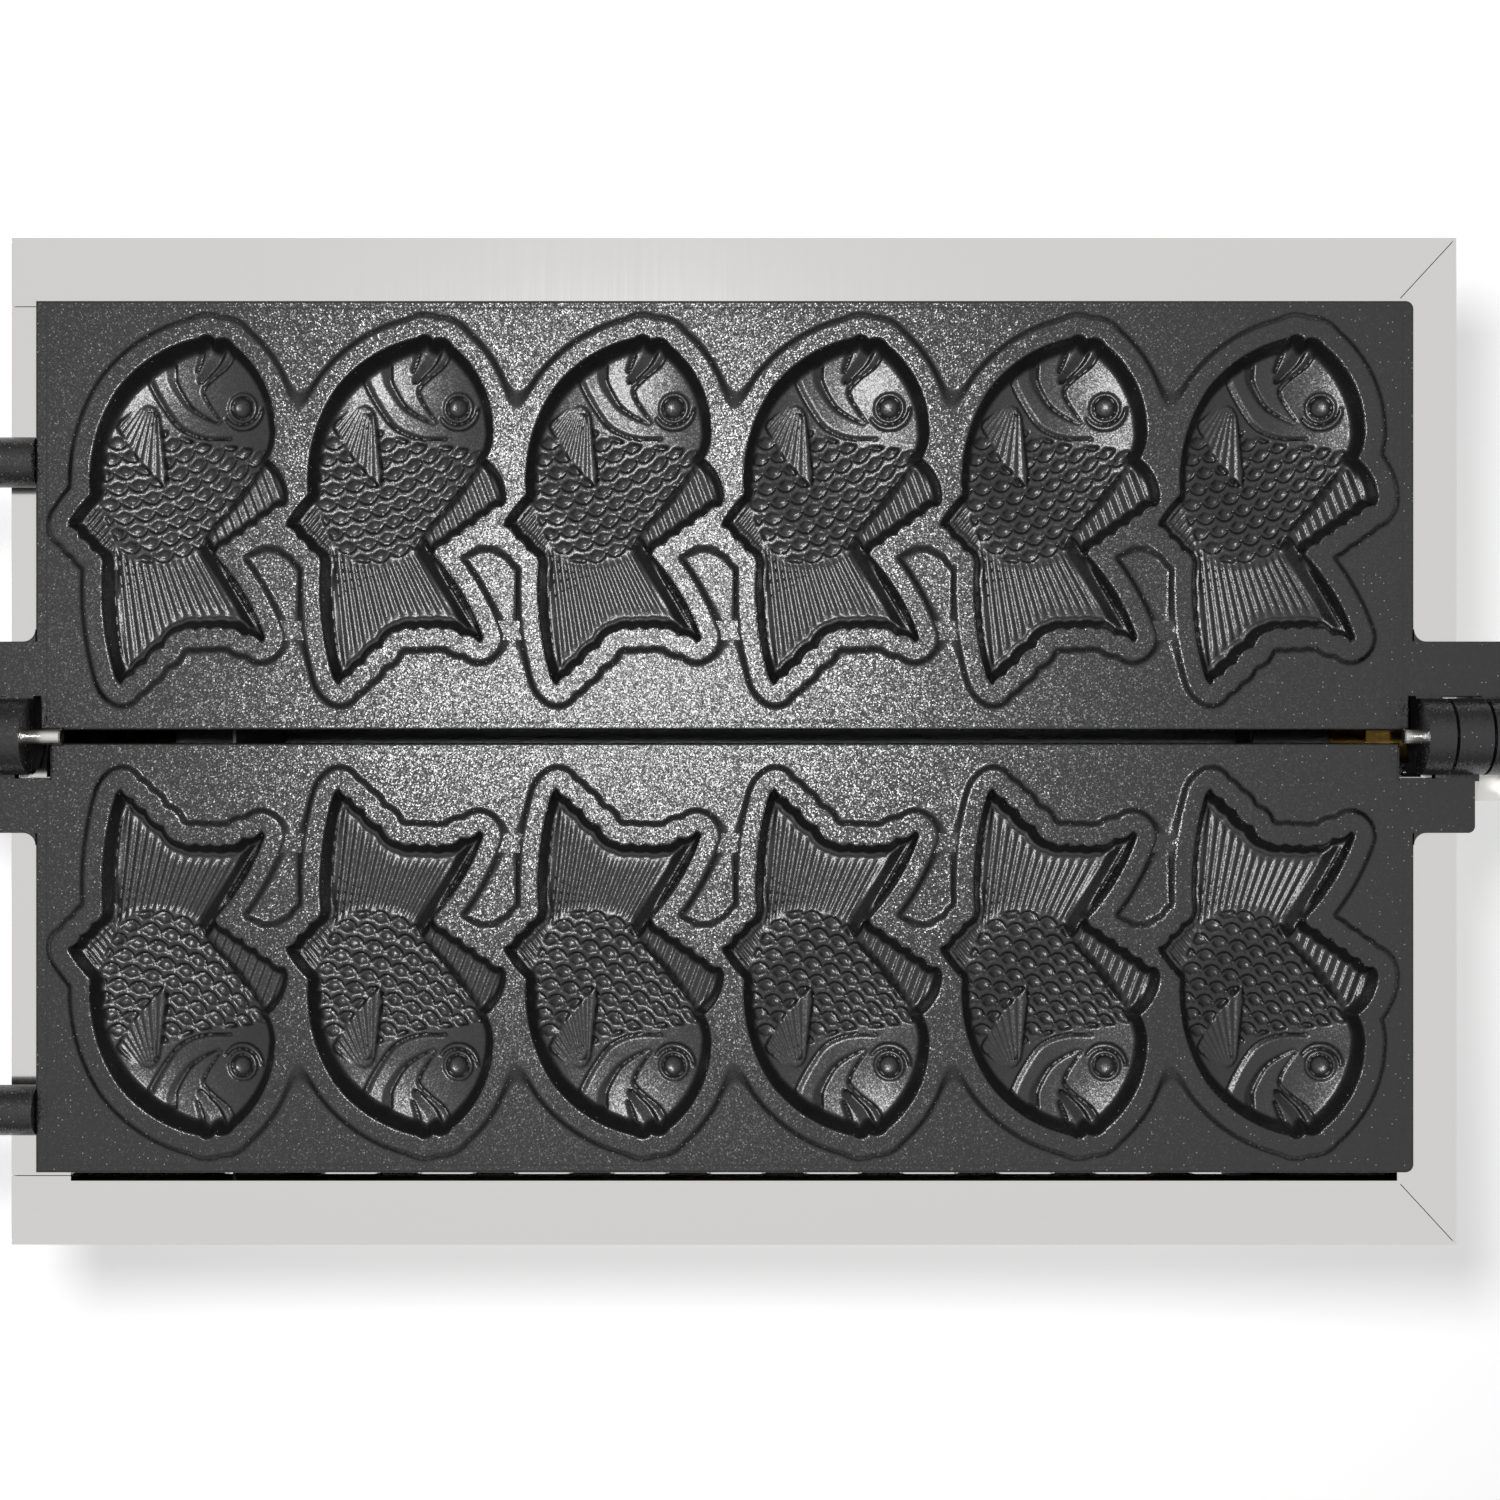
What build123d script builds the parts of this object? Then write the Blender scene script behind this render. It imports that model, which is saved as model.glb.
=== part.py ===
from build123d import *

import os
from math import cos, radians, sin

os.makedirs("parts", exist_ok=True)

# ------------------------------------------------------------------ driving sizes, mm and degrees
# +X points from the operator's end with the handles to the gas inlet end, +Y to the left-hand
# plate, +Z up. The origin is under the middle of the overall box, at the level of the feet.

# sheet-metal body
body_length = 541.0
body_width = 377.0
body_height = 173.0
sheet = 1.2
rim_end = 22.2  # width of the flat rim over the two ends
rim_side = 23.9  # width of the flat rim over the two sides
rim_lip = 10.0  # down-turned lip round the opening
rim_relief = 9.0  # the opening reaches this much farther under the knuckles
rim_relief_half = 15.0
rim_seam = 1.8  # how far the side flanges reach past the opening beside the front seam
seam_gap = 0.3
overrun = 1.0  # how far a cut runs past the face it opens
corner_radius = 2.5
side_flange = 48.0  # bottom flanges that the feet screw into
rear_flange = 15.0
panel_return = 14.0
vent_count = 11
vent_pitch = 42.0
vent_length = 26.0
vent_height = 7.0
vent_rise = 44.0

# feet and screws
foot_height = 22.0
foot_radius = 18.0
foot_taper = 3.0
foot_inset = 26.0
foot_recess_radius = 7.0
foot_recess_depth = 14.0
foot_screw_radius = 2.5
panel_screw_radius = 2.0
bracket_screw_radius = 2.5
screw_clearance = 0.15
screw_head_size = 1.85  # head radius, head height and socket radius in screw radii
screw_head_height = 1.2
screw_socket_size = 0.75
screw_tail = 1.0  # thread showing past a nut
panel_screw_tail = 3.0
panel_screw_shares = (0.2, 0.5, 0.8)  # of the body's height
nut_size = 1.8
nut_height = 4.0

# hinge line and plates, measured from the hinge axis
hinge_rise = 16.3  # axis above the rim
hinge_shift = -3.3  # middle of the plates from the middle of the body, along X
hinge_y = 1.6  # axis from the middle of the body, along Y
plate_length = 507.0
plate_width = 158.0
plate_corner = 3.0
hinge_gap = 2.4  # from the axis to a plate's inner edge
rim_drop = 0.15  # top of the cast rims below the axis, half the gap of the closed mould
rim_height = 2.0
rim_band = 6.0
slab = 8.0
skirt_wall = 5.0
rest_gap = 0.3
face_edge_radius = 1.0

# fish moulds
fish_count = 6
fish_pitch = 80.0
tail_depth = 8.2  # below the top of the rims
body_depth = 13.0
dish_radius = 31.0
dish_centres = (119.0, 100.0)  # from the hinge axis
dish_overlap = 0.5
bulge_wall = 3.2
bulge_size = (76.0, 92.0)
bulge_corner = 35.0
bulge_draft = 14.0
bulge_y = 108.0
bridge_reach = 119.3  # how far the land between two heads reaches from the axis
bridge_overlap = 8.0
bridge_width = 14.3
saddle_y = 39.0
saddle_length = 7.0
saddle_width = 13.0
saddle_drop = 0.6

# knuckles, pins and trunnion brackets
knuckle_radius = 14.0
knuckle_start = 254.3  # inner face of the first knuckle from the middle of the hinge line
knuckle_left_inner = 9.7
knuckle_right = 12.3
knuckle_left_outer = 13.4
knuckle_gap = 1.2
left_ear_inner = 15.0
right_ear_inner = 15.4
ear_width = 20.0
ear_depth = 14.0
ear_setback = 1.6
ear_root = 4.5
ear_corner = 2.5
left_notch = 1.6  # clearance notch into the plate's length beside the knuckles
right_notch = 5.2
pin_radius = 3.0
pin_fit = 0.05
pin_proud_rear = 5.6
pin_proud_front = 11.3
pin_tail = 6.0
pin_chamfer = 0.5
key_radius = 0.9
key_depth = 7.0
key_sink = 1.2
clip_radius = 6.0
clip_width = 1.0
clip_groove = 0.7
bracket_gap = 1.5
bracket_sheet = 4.0
bracket_half_width = 24.0
bracket_foot = 62.0  # height of the leg that is screwed to the end of the body
bracket_drop = 2.0  # jog of the bracket below the rim
bracket_head = 13.5
bracket_screw_y = 14.0
bracket_screw_z = (16.0, 44.0)

# handles
left_handle_y = 101.4
right_handle_y = 138.0
handle_drop = 6.5
boss_radius = 9.25
boss_length = 34.0
rod_radius = 5.0
rod_socket = 22.0
rod_fit = 0.05
grip_gap = 12.0
grip_length = 116.0
grip_radius = 14.0
grip_neck = 11.5
grip_neck_length = 13.9
grip_taper_length = 20.9
grip_middle = 69.6
grip_end_edge = 4.0
grip_edge = 1.0
grip_waist = 0.8  # how far the grip's shoulders stay under its full radius
cap_radius = 8.0
cap_length = 9.0
cap_straight = 5.0
cap_dome_radius = 5.6
cap_tip_radius = 2.4

# gas controls, depths measured inwards from the outer face of the control panel
valve_y = 94.0
valve_z = 115.0
valve_block = 24.0
valve_corner = 3.0
valve_length = 21.5
hub_radius = 8.0
hub_length = 6.0
hub_proud = 1.0
hub_clearance = 0.3
stem_radius = 4.0
stem_fit = 0.05
stem_inner = 12.0
stem_flat = 1.0
push_travel = 3.0
spring_room = 4.5
collar_radius = 7.5
collar_width = 1.5
shoulder_radius = 6.0
shoulder_gap = 0.1
bezel_radius = 27.0
bezel_inner = 10.0
bezel_sheet = 1.2
knob_radius = 20.0
knob_length = 17.0
knob_gap = 0.5  # left behind the knob when it is pushed in
knob_skirt = 4.0
knob_cone = 2.6
knob_neck = 17.2
knob_face = 16.0
knob_edge = 1.5
knob_recess = 9.5
knob_cover = 5.0  # in front of the stem
knob_flutes = 12
knob_flute_radius = 2.6
knob_flute_length = knob_length - knob_skirt - knob_cone
pointer_width = 2.4
pointer_depth = 0.8
pointer_proud = 1.0
pointer_inner = 2.0
outlet_radius = 7.0
outlet_length = 4.0
jet_across = 14.0
jet_hex = 5.0
jet_radius = 4.9
jet_length = 10.0
jet_bore = 0.6
spigot_radius = 4.0
spigot_length = 4.0
manifold_radius = 8.5
manifold_bore = 6.5
manifold_drop = 27.0
nipple_radius = 6.0
nipple_length = 7.0
nipple_wall = 3.0
supply_radius = 7.0
supply_boss = 10.0
supply_socket = 9.0

# burners
shutter_radius = 17.0
shutter_sheet = 2.0
shutter_gap = 0.4
shutter_tab = 7.0
shutter_tab_root = 2.0
air_hole_radius = 4.0
air_hole_circle = 10.8
air_hole_count = 4
bell_radius = 17.0
bell_length = 26.0
neck_radius = 11.0
neck_length = 14.0
cone_length = 8.0
burner_radius = 16.0
burner_length = 380.0
burner_wall = 1.5
burner_stub_radius = 5.0
burner_stub_length = 12.0
port_radius = 1.3
port_pitch = 11.0
port_angle = 28.0
support_sheet = 1.2
support_flange = 12.0
support_clearance = 0.2
shield_top_gap = 3.0
support_height = 66.0

# gas inlet
inlet_radius = 10.5
inlet_length = 18.0
inlet_hex = 28.0
inlet_hex_length = 6.0
inlet_shank = 9.5
inlet_shank_length = 20.0
inlet_bore = 5.0
inlet_chamfer = 1.0
pipe_play = 0.5  # left at each end of the supply pipe
lock_nut_across = 26.0
lock_nut_height = 5.0

# crumb tray
tray_half_width = 145.0
tray_length = 500.0
tray_height = 26.0
tray_sheet = 1.2
tray_clearance = 1.5
tray_front_overlap = 5.0
rail_height = 16.0
rail_foot = 10.0
rail_gap = 0.8
pull_width = 90.0
pull_reach = 22.0
pull_radius = 3.5
pull_bend = 8.0
base_slot_length = 60.0
base_slot_width = 8.0
base_slot_pitch = (90.0, 40.0)
base_slot_count = 5

# ------------------------------------------------------------------ levels and stations
z_floor = foot_height
z_rim = z_floor + body_height
z_base = z_floor + 2 * sheet
hinge_z = z_rim + hinge_rise
z_face = hinge_z - rim_drop - rim_height
z_skirt = z_rim + rest_gap
z_lip = z_rim - rim_lip

plate_half = plate_length / 2
left_inner_end = knuckle_start + knuckle_left_inner
right_start = left_inner_end + knuckle_gap
right_end = right_start + knuckle_right
outer_start = right_end + knuckle_gap
outer_end = outer_start + knuckle_left_outer
bracket_face = outer_end + bracket_gap
pin_tip = bracket_face + bracket_sheet + pin_tail

rear_reach = max(hinge_shift + pin_tip, body_length / 2 + inlet_hex_length + inlet_length)
front_reach = plate_half + boss_length + grip_gap + grip_length + cap_length - hinge_shift
body_x = (front_reach - rear_reach) / 2
front_x = body_x - body_length / 2
rear_x = body_x + body_length / 2
hinge_x = body_x + hinge_shift
side_y = body_width / 2
open_front_x = front_x + rim_end
open_rear_x = rear_x - rim_end
open_y = side_y - rim_side
panel_y = open_y - rim_seam
wall_y = side_y - sheet

SIDES = {"left": 1, "right": -1}
ENDS = {"front": -1, "rear": 1}

# The fish outline, clockwise from the root of the anal fin, for the fish of the left plate: x from
# the fish's own middle, y from the hinge axis, the bulge of each arc, and the number of scallops.
FISH_START = (-36.3, 89.0)
FISH_OUTLINE = [
    (-26.3, 127.7, 3.4, 1),  # belly
    (3.8, 146.6, 3.2, 1),  # throat
    (9.7, 146.0, 1.5, 1),  # lower lip
    (16.7, 143.9, 1.6, 1),  # upper lip
    (31.8, 114.3, 3.6, 1),  # forehead
    (29.3, 102.1, 1.0, 1),  # nape
    (36.6, 88.5, 1.6, 1),  # front of the dorsal fin
    (35.0, 84.2, 0.6, 1),  # its tip
    (10.1, 66.7, -0.8, 3),  # its scalloped edge
    (28.2, 36.5, 1.9, 1),  # upper edge of the tail
    (26.4, 34.3, 0.5, 1),  # upper tip
    (13.0, 39.2, -0.85, 2),  # wavy end of the tail
    (-2.6, 38.6, -0.5, 3),
    (-15.5, 26.4, -1.0, 2),
    (-24.6, 18.4, -0.65, 2),
    (-27.4, 22.0, 0.4, 1),  # lower tip
    (-31.7, 63.9, 1.9, 1),  # lower edge of the tail
    (-44.4, 77.0, -0.7, 3),  # scalloped anal fin
    (-43.3, 80.3, 0.4, 1),  # its tip
    (-36.3, 89.0, 0.3, 1),
]

SAVED = []


def save(part, name):
    """Labels a finished piece and writes its file."""
    part.label = name
    export_step(part, f"parts/{name}.step")
    SAVED.append(name)


def box_sketch(x0, x1, y0, y1, mode=Mode.ADD):
    """A rectangle between two corners, on the current sketch."""
    with Locations(((x0 + x1) / 2, (y0 + y1) / 2)):
        Rectangle(abs(x1 - x0), abs(y1 - y0), mode=mode)


def plate_z(height):
    """The level plane at a height above the feet."""
    return Plane.XY.offset(height)


def station(x):
    """The upright plane across the object at x, with local axes along Y and Z."""
    return Plane.YZ.offset(x)


# ------------------------------------------------------------------ sheet-metal body
foot_places = [
    (body_x + ix * (body_length / 2 - foot_inset), iy * (side_y - foot_inset))
    for ix in (-1, 1)
    for iy in (-1, 1)
]
panel_screw_heights = [z_floor + body_height * share for share in panel_screw_shares]
panel_screw_x = front_x + panel_return / 2 + sheet
bracket_screw_places = [
    (hinge_y + iy * bracket_screw_y, z_rim - bracket_drop - bracket_foot + dz)
    for iy in (-1, 1)
    for dz in bracket_screw_z
]


def cut_level_holes(places, radius, z0, z1):
    """Cuts upright round holes between two levels."""
    with BuildSketch(plate_z(z0)) as holes:
        with Locations(*places):
            Circle(radius)
    extrude(holes.sketch, amount=z1 - z0, mode=Mode.SUBTRACT)


def cut_end_holes(places, radius, x0, x1):
    """Cuts round holes along X at places given as (y, z)."""
    with BuildSketch(station(min(x0, x1))) as holes:
        with Locations(*places):
            Circle(radius)
    extrude(holes.sketch, amount=abs(x1 - x0), mode=Mode.SUBTRACT)


def cut_rim_relief():
    """Opens the rim and its lip below the knuckles, at both ends."""
    with BuildSketch(plate_z(z_lip - overrun)) as relief:
        for edge in (open_front_x, open_rear_x):
            low, high = edge - rim_relief, edge + rim_relief
            box_sketch(low, high, hinge_y - rim_relief_half, hinge_y + rim_relief_half)
    extrude(relief.sketch, amount=rim_lip + 2 * overrun, mode=Mode.SUBTRACT)


with BuildPart() as body_wrap:
    with BuildSketch(plate_z(z_floor)):
        box_sketch(front_x, rear_x, -side_y, side_y)
        box_sketch(front_x, rear_x - sheet, -wall_y, wall_y, Mode.SUBTRACT)
    extrude(amount=body_height)
    with BuildSketch(plate_z(z_rim - sheet)) as top_flange:
        box_sketch(front_x, rear_x, -side_y, side_y)
        fillet(top_flange.vertices().group_by(Axis.X)[0], corner_radius)
        box_sketch(open_front_x, open_rear_x, -open_y, open_y, Mode.SUBTRACT)
        box_sketch(front_x, open_front_x, -panel_y, panel_y, Mode.SUBTRACT)
    extrude(amount=sheet)
    with BuildSketch(plate_z(z_lip)):
        box_sketch(open_front_x, open_rear_x + sheet, -open_y - sheet, open_y + sheet)
        box_sketch(open_front_x, open_rear_x, -open_y, open_y, Mode.SUBTRACT)
    extrude(amount=rim_lip)
    with BuildSketch(plate_z(z_floor)):
        box_sketch(front_x, rear_x, -side_y, side_y)
        inner_y = side_y - side_flange
        box_sketch(front_x, rear_x - rear_flange, -inner_y, inner_y, Mode.SUBTRACT)
    extrude(amount=sheet)
    with BuildSketch(plate_z(z_rim - sheet)):
        for side in SIDES.values():
            with BuildLine():
                Line(
                    (open_rear_x + sheet, side * (open_y + sheet)),
                    (rear_x - sheet, side * (side_y - sheet)),
                )
            trace(line_width=seam_gap)
    extrude(amount=sheet, mode=Mode.SUBTRACT)
    with BuildSketch(Plane.XZ):
        with Locations((body_x, z_floor + vent_rise)):
            with GridLocations(vent_pitch, 1, vent_count, 1):
                SlotOverall(vent_length, vent_height)
    extrude(amount=body_width, both=True, mode=Mode.SUBTRACT)
    with BuildSketch(Plane.XZ):
        with Locations(*[(panel_screw_x, z) for z in panel_screw_heights]):
            Circle(panel_screw_radius + screw_clearance)
    extrude(amount=body_width, both=True, mode=Mode.SUBTRACT)
    cut_level_holes(foot_places, foot_screw_radius + screw_clearance, z_floor, z_floor + sheet)
    rear_wall = (rear_x - 2 * sheet, rear_x + sheet)
    cut_end_holes(bracket_screw_places, bracket_screw_radius + screw_clearance, *rear_wall)
    cut_end_holes([(0, valve_z - manifold_drop)], inlet_shank + hub_clearance, *rear_wall)
    cut_rim_relief()
save(body_wrap.part, "body_wrap")

slot_top = z_base + rest_gap + tray_height + tray_clearance
return_y = wall_y - seam_gap
with BuildPart() as control_panel:
    with BuildSketch(station(front_x)):
        box_sketch(-return_y, return_y, z_floor + sheet + seam_gap, z_rim - sheet - seam_gap)
        box_sketch(-panel_y + seam_gap, panel_y - seam_gap, z_floor + sheet + seam_gap, z_rim)
        slot_y = tray_half_width + tray_clearance
        box_sketch(-slot_y, slot_y, z_base, slot_top, Mode.SUBTRACT)
    extrude(amount=sheet)
    with BuildSketch(plate_z(z_rim - sheet)):
        box_sketch(front_x, open_front_x, -panel_y + seam_gap, panel_y - seam_gap)
    extrude(amount=sheet)
    with BuildSketch(plate_z(z_lip)):
        box_sketch(open_front_x - sheet, open_front_x, -panel_y + seam_gap, panel_y - seam_gap)
    extrude(amount=rim_lip)
    with BuildSketch(plate_z(z_base + seam_gap)):
        for side in SIDES.values():
            near, far = side * (return_y - sheet), side * return_y
            box_sketch(front_x, front_x + panel_return, near, far)
    extrude(amount=z_lip - z_base - seam_gap)
    with BuildSketch(Plane.XZ):
        with Locations(*[(panel_screw_x, z) for z in panel_screw_heights]):
            Circle(panel_screw_radius + screw_clearance)
    extrude(amount=body_width, both=True, mode=Mode.SUBTRACT)
    front_wall = (front_x - sheet, front_x + 2 * sheet)
    valve_places = [(side * valve_y, valve_z) for side in SIDES.values()]
    cut_end_holes(valve_places, hub_radius + hub_clearance, *front_wall)
    cut_end_holes(bracket_screw_places, bracket_screw_radius + screw_clearance, *front_wall)
    cut_rim_relief()
save(control_panel.part, "control_panel")

with BuildPart() as base_plate:
    with BuildSketch(plate_z(z_floor + sheet)):
        base_front, base_rear = front_x + sheet + seam_gap, rear_x - sheet - seam_gap
        box_sketch(base_front, base_rear, -return_y, return_y)
        with Locations((body_x, 0)):
            with GridLocations(*base_slot_pitch, base_slot_count, base_slot_count):
                SlotOverall(base_slot_length, base_slot_width, mode=Mode.SUBTRACT)
    extrude(amount=sheet)
    hole = foot_screw_radius + screw_clearance
    cut_level_holes(foot_places, hole, z_floor + sheet, z_base)
save(base_plate.part, "base_plate")

# ------------------------------------------------------------------ feet and fasteners
for name, place in zip(("front_right", "front_left", "rear_right", "rear_left"), foot_places):
    with BuildPart() as foot:
        with BuildSketch(plate_z(0)):
            with Locations(place):
                Circle(foot_radius - foot_taper)
        with BuildSketch(plate_z(foot_height)):
            with Locations(place):
                Circle(foot_radius)
        loft()
        cut_level_holes([place], foot_recess_radius, 0, foot_recess_depth)
        hole = foot_screw_radius + screw_clearance
        cut_level_holes([place], hole, foot_recess_depth, foot_height)
    save(foot.part, f"foot_{name}")


def add_screws(planes, radius, length):
    """Pan-head screws with a hexagon socket, each on the plane under its head."""
    head_height = radius * screw_head_height
    for plane in planes:
        with BuildSketch(plane) as head:
            Circle(radius * screw_head_size)
        extrude(head.sketch, amount=head_height)
        with BuildSketch(plane) as shank:
            Circle(radius)
        extrude(shank.sketch, amount=-length)
        with BuildSketch(plane.offset(head_height)) as socket:
            RegularPolygon(radius * screw_socket_size, 6)
        extrude(socket.sketch, amount=-head_height / 2, mode=Mode.SUBTRACT)


def add_nuts(planes, radius, height):
    """Hexagon nuts, each on the plane it bears against."""
    for plane in planes:
        with BuildSketch(plane) as nut:
            RegularPolygon(radius * nut_size, 6)
            Circle(radius + screw_clearance / 3, mode=Mode.SUBTRACT)
        extrude(nut.sketch, amount=height)


with BuildPart() as foot_screws:
    planes = [Plane((x, y, foot_recess_depth), z_dir=(0, 0, -1)) for x, y in foot_places]
    length = z_base + nut_height + screw_tail - foot_recess_depth
    add_screws(planes, foot_screw_radius, length)
save(foot_screws.part, "foot_screws")

with BuildPart() as foot_nuts:
    add_nuts([Plane((x, y, z_base)) for x, y in foot_places], foot_screw_radius, nut_height)
save(foot_nuts.part, "foot_nuts")

with BuildPart() as panel_screws:
    places = [(side, z) for side in SIDES.values() for z in panel_screw_heights]
    planes = [Plane((panel_screw_x, s * side_y, z), z_dir=(0, s, 0)) for s, z in places]
    add_screws(planes, panel_screw_radius, 2 * sheet + seam_gap + panel_screw_tail)
save(panel_screws.part, "panel_screws")


# ------------------------------------------------------------------ trunnion brackets
def bracket_screw_planes(end, depth):
    """Planes at the bracket screws, at a depth into the body from the bracket's outer face."""
    x = body_x + end * (body_length / 2 + bracket_sheet - depth)
    facing = end if depth == 0 else -end
    return [Plane((x, y, z), z_dir=(facing, 0, 0)) for y, z in bracket_screw_places]


for end_name, end in ENDS.items():
    wall = body_x + end * body_length / 2
    face = hinge_x + end * bracket_face
    jog_z = z_rim - bracket_drop
    with BuildPart() as trunnion_bracket:
        with BuildSketch(Plane.XZ.offset(-hinge_y)):
            box_sketch(wall, wall + end * bracket_sheet, jog_z - bracket_foot, jog_z)
            box_sketch(wall, face + end * bracket_sheet, jog_z - bracket_sheet, jog_z)
        extrude(amount=bracket_half_width, both=True)
        with BuildSketch(station(min(face, face + end * bracket_sheet))):
            with Locations((hinge_y, hinge_z)):
                Circle(bracket_head)
            reach = bracket_half_width
            box_sketch(hinge_y - reach, hinge_y + reach, jog_z - bracket_sheet, jog_z)
            make_hull()
        extrude(amount=bracket_sheet)
        holes = (wall + end * 2 * bracket_sheet, wall - end * overrun)
        cut_end_holes(bracket_screw_places, bracket_screw_radius + screw_clearance, *holes)
        bore = (face - end * overrun, face + end * 2 * bracket_sheet)
        cut_end_holes([(hinge_y, hinge_z)], pin_radius + pin_fit, *bore)
    save(trunnion_bracket.part, f"trunnion_bracket_{end_name}")

with BuildPart() as bracket_screws:
    for end in ENDS.values():
        length = bracket_sheet + sheet + nut_height + screw_tail
        add_screws(bracket_screw_planes(end, 0), bracket_screw_radius, length)
save(bracket_screws.part, "bracket_screws")

with BuildPart() as bracket_nuts:
    for end in ENDS.values():
        planes = bracket_screw_planes(end, bracket_sheet + sheet)
        add_nuts(planes, bracket_screw_radius, nut_height)
save(bracket_nuts.part, "bracket_nuts")


# ------------------------------------------------------------------ hinge pins
key_y = hinge_y + pin_radius + key_radius / 3
for end_name, end in ENDS.items():
    proud = pin_proud_rear if end > 0 else pin_proud_front
    start = hinge_x + end * (knuckle_start - proud)
    tip = hinge_x + end * pin_tip
    groove = hinge_x + end * (bracket_face + bracket_sheet + rest_gap)
    with BuildPart() as hinge_pin:
        with BuildSketch(station(start)):
            with Locations((hinge_y, hinge_z)):
                Circle(pin_radius)
        extrude(amount=tip - start)
        chamfer(hinge_pin.edges().filter_by(GeomType.CIRCLE), pin_chamfer)
        with BuildSketch(station(groove)):
            with Locations((hinge_y, hinge_z)):
                Circle(pin_radius)
                Circle(pin_radius - clip_groove, mode=Mode.SUBTRACT)
        extrude(amount=end * clip_width, mode=Mode.SUBTRACT)
        face = hinge_x + end * knuckle_start
        key_hole = (start, face + end * key_depth)
        cut_end_holes([(key_y, hinge_z)], key_radius, *key_hole)
    save(hinge_pin.part, f"hinge_pin_{end_name}")

with BuildPart() as pin_clips:
    for end in ENDS.values():
        with BuildSketch(station(hinge_x + end * (bracket_face + bracket_sheet + rest_gap))):
            with Locations((hinge_y, hinge_z)):
                Circle(clip_radius)
                Circle(pin_radius - clip_groove + pin_fit, mode=Mode.SUBTRACT)
            mouth = pin_radius - clip_groove
            box_sketch(hinge_y - mouth, hinge_y + mouth, hinge_z - clip_radius, hinge_z, Mode.SUBTRACT)
        extrude(amount=end * clip_width)
save(pin_clips.part, "pin_clips")

with BuildPart() as pin_keys:
    for end in ENDS.values():
        with BuildSketch(station(hinge_x + end * (knuckle_start + key_sink))):
            with Locations((key_y, hinge_z)):
                Circle(key_radius - pin_fit)
        extrude(amount=end * (key_depth - key_sink))
save(pin_keys.part, "pin_keys")


# ------------------------------------------------------------------ mould plates
def fish_face():
    """The fish's outline as one face that looks up, at the middle of the row of fish."""
    arcs = []
    start = Vector(*FISH_START)
    for x, y, bulge, scallops in FISH_OUTLINE:
        end = Vector(x, y)
        stops = [start + (end - start) * (step / scallops) for step in range(scallops + 1)]
        arcs += [(near, far, bulge) for near, far in zip(stops[:-1], stops[1:])]
        start = end
    with BuildSketch() as fish:
        with BuildLine():
            for near, far, bulge in reversed(arcs):
                SagittaArc(far, near, -bulge)
        make_face()
    return fish.sketch


def fish_rim(outline):
    """The raised rim of one fish, standing on the XY plane."""
    with BuildPart() as rim:
        with BuildSketch():
            add(outline)
            offset(amount=rim_band, kind=Kind.ARC, mode=Mode.REPLACE)
        extrude(amount=rim_height)
    return rim.part


def fish_hollow(outline):
    """The hollow of one fish below the XY plane: a level floor with two deeper round dishes."""
    dish_depth = body_depth - tail_depth
    sphere_radius = (dish_radius**2 + dish_depth**2) / (2 * dish_depth)
    with BuildPart() as dishes:
        with Locations(*[(0, y, sphere_radius - body_depth) for y in dish_centres]):
            Sphere(sphere_radius)
        with BuildSketch(plate_z(-body_depth - overrun)):
            add(outline)
        extrude(amount=dish_depth + overrun + dish_overlap, mode=Mode.INTERSECT)
    with BuildPart() as hollow:
        with BuildSketch():
            add(outline)
        extrude(amount=-tail_depth)
        add(dishes.part)
    return hollow.part


row_places = [
    (body_x + fish_pitch * (n - (fish_count - 1) / 2), hinge_y) for n in range(fish_count)
]


def fish_row():
    """The raised rims and the hollows of the left plate's row of fish, as two parts."""
    outline = fish_face()
    rim, hollow = fish_rim(outline), fish_hollow(outline)
    between = [((x0 + x1) / 2, y) for (x0, y), (x1, _) in zip(row_places[:-1], row_places[1:])]
    with BuildPart() as rims:
        with Locations(*[(x, y, z_face) for x, y in row_places]):
            add(rim)
        with BuildSketch(plate_z(z_face)):
            length = bridge_reach - bulge_y + bridge_overlap
            with Locations(*[(x, y + bridge_reach - length / 2) for x, y in between]):
                Rectangle(bridge_width, length)
        extrude(amount=rim_height)
        with BuildSketch(plate_z(z_face)):
            with Locations(*[(x, y + saddle_y) for x, y in between]):
                Rectangle(saddle_width, saddle_length)
        extrude(amount=rim_height - saddle_drop)
    with BuildPart() as hollows:
        with Locations(*[(x, y, hinge_z - rim_drop) for x, y in row_places]):
            add(hollow)
    return [rims.part, hollows.part]


left_row = fish_row()
right_row = [mirror(part, about=Plane.XZ.offset(-hinge_y)) for part in left_row]


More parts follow.
